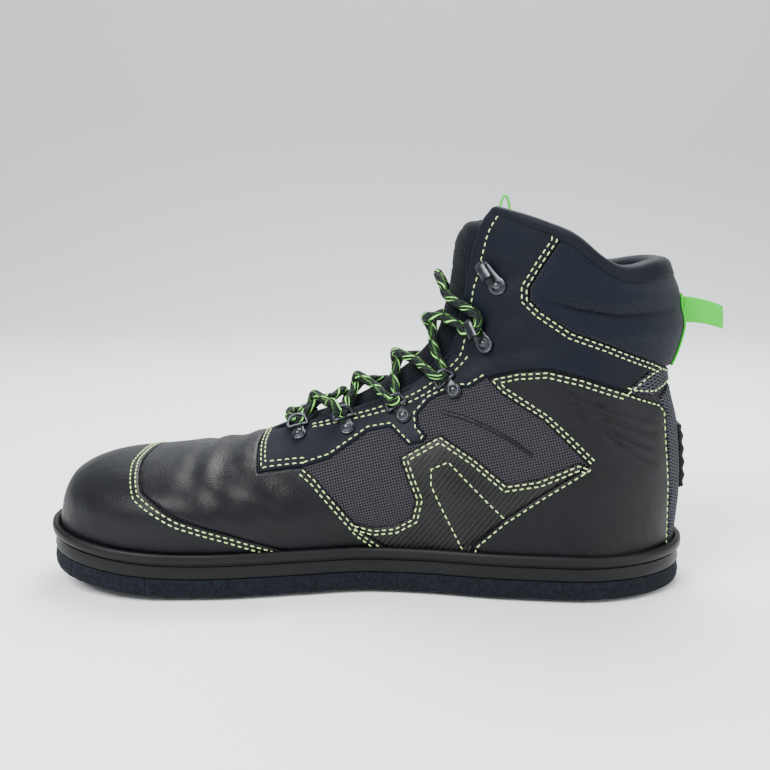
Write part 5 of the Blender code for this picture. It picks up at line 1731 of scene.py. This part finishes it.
@dataclass
class Lacing:
    """Ring eyelets, speed hooks and the lace.

    Attributes:
        last: The form.
        inset: From the throat's edge to a rivet.
        plate: Thickness of a fitting's plate.
        lace: Thickness of the lace.
        tilt: How far the rings stand up, in radians.
        ring_reach: From a rivet to its ring.
        ring_length: Length of the ring.
        ring_half: Half its width.
        wire: Thickness of its wire.
        seat: Height of a plate over the form.
        strand_height: Height of the lace over the form between the fittings.
        curve_step: Distance between points of a ring or a hook.
        lace_step: Distance between points of the lace.
    """

    last: Last
    inset: float = 0.0095
    plate: float = 0.0012
    lace: float = 0.0048
    tilt: float = radians(32)
    ring_reach: float = 0.0062
    ring_length: float = 0.0056
    ring_half: float = 0.0048
    wire: float = 0.0019
    seat: float = 0.0014
    strand_height: float = 0.0043
    curve_step: float = 0.0006
    lace_step: float = 0.0012

    def frame_at(self, section: float, lateral: bool, turn: float = 0.0) -> Array:
        """Matrix on the overlay at a section: X towards the throat, Z outwards."""
        climb = float(self.last.climb_at(section, self.last.throat_half(section) + self.inset))
        at, ahead = climb, climb + SLOPE_STEP
        if lateral:
            at, ahead = 2 - climb, 2 - climb - SLOPE_STEP
        point = self.last.form(section, at)
        normal = self.last.outward(section, at)
        across = self.last.form(section, ahead) - point
        across = across - across @ normal * normal
        across = across / np.linalg.norm(across)
        other = np.cross(normal, across)
        angle = radians(turn) * (1 if lateral else -1)
        first = cos(angle) * across + sin(angle) * other
        second = cos(angle) * other - sin(angle) * across
        matrix = np.eye(4)
        matrix[:3, :3] = np.stack([first, second, normal], -1)
        matrix[:3, 3] = point + self.seat * normal + self.last.shift
        return matrix

    def disc(self, outline: Array, mesh: Mesh, matrix: Array) -> None:
        """Flat plate of an outline with a rounded top edge, the outline drawn in as it rises."""
        middle = outline.mean(axis=0)
        layers = []
        for share, height in ((1, 0), (1, 0.6), (0.97, 0.85), (0.90, 1)):
            flat = middle + (outline - middle) * share
            layers.append(np.column_stack([flat, np.full(len(flat), height * self.plate)]))
        place(mesh, np.stack(layers), matrix, True)

    def rivet(self, mesh: Mesh, matrix: Array) -> None:
        """Domed rivet head with a rim and a shallow dish."""
        profile = np.array([
            (3.1, 0.6), (3.1, 1.5), (2.95, 1.8), (2.6, 2.0), (2.35, 1.95), (2.2, 2.35),
            (1.6, 2.95), (0.9, 3.25), (0.05, 3.35)]) / 1000
        place(mesh, lathe(profile, 24), matrix, True)

    def strap(self, radius: float, nose: float, nose_half: float) -> Array:
        """Outline of a plate: round at the rivet, narrowing to its nose."""
        angle = np.linspace(radians(55), radians(305), 21)
        arc = np.stack([radius * np.cos(angle), radius * np.sin(angle)], -1)
        return np.vstack([arc, [(nose, -nose_half), (nose, nose_half)]])

    def eyelet(self, mesh: Mesh, matrix: Array) -> None:
        """Riveted strap with a D of wire that stands up from its end."""
        self.disc(self.strap(0.00375, self.ring_reach + 0.0006, 0.0030), mesh, matrix)
        self.rivet(mesh, matrix)
        swing = np.linspace(-1, 1, 33)
        depth = np.concatenate([self.ring_length * np.cos(swing * pi / 2) ** 0.7, np.zeros(7)])
        width = np.concatenate([self.ring_half * np.sin(swing * pi / 2),
                                self.ring_half * np.linspace(1, -1, 9)[1:-1]])
        x = self.ring_reach + depth * cos(self.tilt)
        z = 0.00125 + depth * sin(self.tilt)
        path = np.stack([x, width, z], -1)
        path = smooth_path(path[::2], self.curve_step, closed=True)[:-1]
        up = np.broadcast_to([-sin(self.tilt), 0, cos(self.tilt)], path.shape)
        place(mesh, sweep_round(path, up, self.wire / 2, 10), matrix, False, round_u=True)

    def hook(self, mesh: Mesh, matrix: Array) -> None:
        """Riveted plate whose nose rises and curls back over it, a strip bent along a curve."""
        self.disc(self.strap(0.0046, 0.0118, 0.0027), mesh, matrix)
        self.rivet(mesh, matrix)
        spine = np.array([
            (8.5, 0, 0.5), (11.2, 0, 0.7), (12.7, 0, 1.5), (13.3, 0, 3.0), (12.6, 0, 4.8),
            (10.6, 0, 5.7), (7.8, 0, 6.2), (4.3, 0, 6.8)]) / 1000
        path = smooth_path(spine, self.curve_step)
        up = np.broadcast_to([0.0, 1.0, 0.0], path.shape)
        place(mesh, sweep(path, up, 0.0007, 12, 3.7), matrix, True)

    def fittings(self, finishes: dict) -> None:
        """All eyelets and hooks, a piece for each node."""
        for fitting in FITTINGS:
            for side in ("medial", "lateral"):
                mesh = Mesh()
                matrix = self.frame_at(fitting.section, side == "lateral", fitting.turn)
                (self.eyelet if fitting.kind == "ring" else self.hook)(mesh, matrix)
                name = fitting.name + "_" + side
                piece = mesh.finish(name + "_pressed", recalculate=True)
                dress(piece, finishes, "gunmetal", [name])

    def over(self, low: float, high: float, rise: float, lift: float, turned: bool) -> Array:
        """Stretch of lace over the tongue, from the medial side to the lateral side.

        Args:
            low: Section at the medial side.
            high: Section at the lateral side.
            rise: How far its middle is drawn up the throat, in sections.
            lift: How much higher its middle passes than its ends.
            turned: Whether it runs from the lateral to the medial side instead.
        """
        swing = np.linspace(-0.72, 0.72, 9)
        bell = np.cos(swing * pi / 2) ** 2
        section = low + (high - low) * (swing + 1) / 2 + rise * bell
        reach = self.last.throat_half(section) - 0.001
        climb = self.last.climb_at(section, np.abs(swing) * reach)
        turn = np.where(swing < 0, climb, 2 - climb)
        height = self.strand_height + lift * bell
        path = self.last.form(section, turn) + self.last.outward(section, turn) * height[:, None]
        path = path + self.last.shift
        return path[::-1] if turned else path

    def through(self, fitting: Fitting, lateral: bool) -> Array:
        """Way of the lace through a ring or round a hook, from below to above."""
        matrix = self.frame_at(fitting.section, lateral, fitting.turn)
        if fitting.kind == "ring":
            points = [(13.2, -2.8, 6.6), (10.4, -2.2, 6.9), (8.3, -1.5, 4.6), (7.6, 0.0, 2.8),
                      (8.6, 1.5, 1.9), (11.6, 2.4, 1.6)]
        else:
            points = [(14.5, -5.2, 3.4), (10.5, -4.9, 3.2), (7.6, -2.4, 3.4), (7.2, 0, 3.5),
                      (7.6, 2.4, 3.4), (10.5, 4.9, 3.2), (14.5, 5.2, 3.4)]
        points = np.array(points, float) / 1000
        ahead = self.last.form(fitting.section + 0.1, 1.0) - self.last.form(fitting.section, 1.0)
        if matrix[:3, 1] @ ahead < 0:
            points[:, 1] = -points[:, 1]
        return points @ matrix[:3, :3].T + matrix[:3, 3]

    def route(self) -> Array:
        """Lace as one closed line: foot bar, one strand up, top bar, and the other strand down."""
        laced = FITTINGS[:5]
        strands = []
        for start in (True, False):
            lateral = start
            stops = [self.through(laced[0], lateral)[3:]]
            for low, high in zip(laced[:-1], laced[1:]):
                ends = low.section + 0.1, high.section - 0.1
                lift = 0.0036 if lateral else -0.0006
                stops.append(self.over(*(ends[::-1] if lateral else ends), 0.0, lift, lateral))
                lateral = not lateral
                stops.append(self.through(high, lateral))
            strands.append(np.concatenate(stops))
        foot = self.over(laced[0].section - 0.15, laced[0].section - 0.15, 0.0, 0.0012, False)
        top = self.over(laced[-1].section + 0.3, laced[-1].section + 0.3, 0.7, 0.0020, False)
        first, second = strands
        way = [foot, first]
        ends_lateral = first[-1, 1] > second[-1, 1]
        way += [top[::-1] if ends_lateral else top, second[::-1]]
        return np.concatenate(way)

    def build(self, finishes: dict) -> None:
        """Fittings and the lace through them, flattened a little by its own tension."""
        self.fittings(finishes)
        path = smooth_path(self.route(), self.lace_step, closed=True)[:-1]
        up = path - (path.mean(axis=0) - np.array([-0.03, 0, 0.06]))
        sides = 14
        around = sweep_round(path, up, self.lace / 2 * 0.97, sides, 0.94)
        along = np.arange(len(path)) * self.lace_step
        girth = np.linspace(0, pi * self.lace, sides, endpoint=False)
        uv = np.stack(np.meshgrid(along, girth, indexing="ij"), -1)
        mesh = Mesh()
        mesh.grid(around, round_u=True, round_v=True, uv=uv)
        names = ["lace_bar_1", "lace_bar_2"] + ["lace_crossing_%d" % row for row in range(1, 5)]
        dress(mesh.finish("lace_run", recalculate=True), finishes, "lace_cord", names)


def place(mesh: Mesh, points: Array, matrix: Array, caps: bool,
          round_u: bool = False) -> None:
    """Adds a grid that is round across its rows, put in place by a matrix."""
    moved = points @ matrix[:3, :3].T + matrix[:3, 3]
    mesh.grid(moved, round_u=round_u, round_v=True, caps=caps)


@dataclass
class Studio:
    """Camera, lights and floor.

    Attributes:
        eye: Place of the camera in the boot's own drawing, in metres.
        focus: Focal length over the width of the sensor.
    """

    eye: tuple[float, float, float] = (0.050, -0.550, 0.185)
    focus: float = 1.40

    def build(self, shift: Array) -> None:
        """Makes the camera, the lights and the floor.

        Args:
            shift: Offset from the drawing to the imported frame.
        """
        low, high = (np.array(corner) for corner in LOADED_BOX)
        middle = Vector((low + high) / 2)
        data = bpy.data.cameras.new("camera")
        data.sensor_width = 36
        data.lens = data.sensor_width * self.focus
        camera = put("camera", data)
        eye = Vector(np.array(self.eye) + shift)
        turn = (middle - eye).to_track_quat("-Z", "Y")
        camera.matrix_world = Matrix.Translation(eye) @ turn.to_matrix().to_4x4()
        bpy.context.scene.camera = camera
        for name, spot, size, power in (
                ("key", (-0.5, -0.8, 1.0), 0.7, 30.0), ("fill", (0.9, -0.6, 0.5), 0.9, 8.0),
                ("back", (0.1, 0.6, 1.1), 0.8, 26.0)):
            light = bpy.data.lights.new(name, "AREA")
            light.size = size
            light.energy = power
            lamp = put(name, light)
            lamp.location = spot
            lamp.rotation_euler = (middle - Vector(spot)).to_track_quat("-Z", "Y").to_euler()
        mesh = bpy.data.meshes.new("floor")
        swing = np.linspace(0, pi / 2, 25)
        bend = np.stack([1.1 + np.sin(swing), 1 - np.cos(swing)], -1)
        line = np.vstack([[(-3, 0)], bend, [(bend[-1, 0], 3)]])
        ends = [np.column_stack([np.full(len(line), x), line]) for x in (-4, 4)]
        quads = net_quads(len(ends), len(line))
        mesh.from_pydata(np.concatenate(ends).tolist(), [], quads.tolist())
        mesh.shade_smooth()
        floor = put("floor", mesh)
        paint = bpy.data.materials.new("pale_floor")
        paint.use_nodes = True
        set_inputs(paint.node_tree.nodes["Principled BSDF"],
                   {"Base Color": linear("#f4f5f6"), "Roughness": 0.9})
        mesh.materials.append(paint)
        world = bpy.data.worlds.new("studio")
        world.use_nodes = True
        set_inputs(world.node_tree.nodes["Background"],
                   {"Color": linear("#f0f3f7"), "Strength": 0.8})
        bpy.context.scene.world = world


def origin_shift(length: float, width: float) -> Array:
    """Offset from the boot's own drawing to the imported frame, found from one stud.

    Args:
        length: Length of the sole.
        width: Width across the ball.
    """
    along, medial = 0.829, 0.188
    low, high = (np.array(corner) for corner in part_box("stud_heel_1"))
    middle = (low + high) / 2
    return np.array([middle[0] - (along - 0.5) * length, middle[1] + medial * width, 0.0])


def main() -> None:
    """Builds the whole picture, piece by piece."""
    logging.basicConfig(level=logging.INFO)
    last = Last()
    last.shift = origin_shift(last.length, last.ball_width)
    Studio().build(last.shift)
    finishes = {finish.name: finish.build() for finish in FINISHES}
    Sole(last).build(finishes)
    upper = Upper(last)
    upper.wall(finishes)
    upper.overlays(finishes)
    upper.bindings(finishes)
    upper.piping(finishes)
    upper.stitches(finishes)
    Tongue(last).build(finishes)
    Heel(upper).build(finishes)
    Lacing(last).build(finishes)


if __name__ == "__main__":
    main()
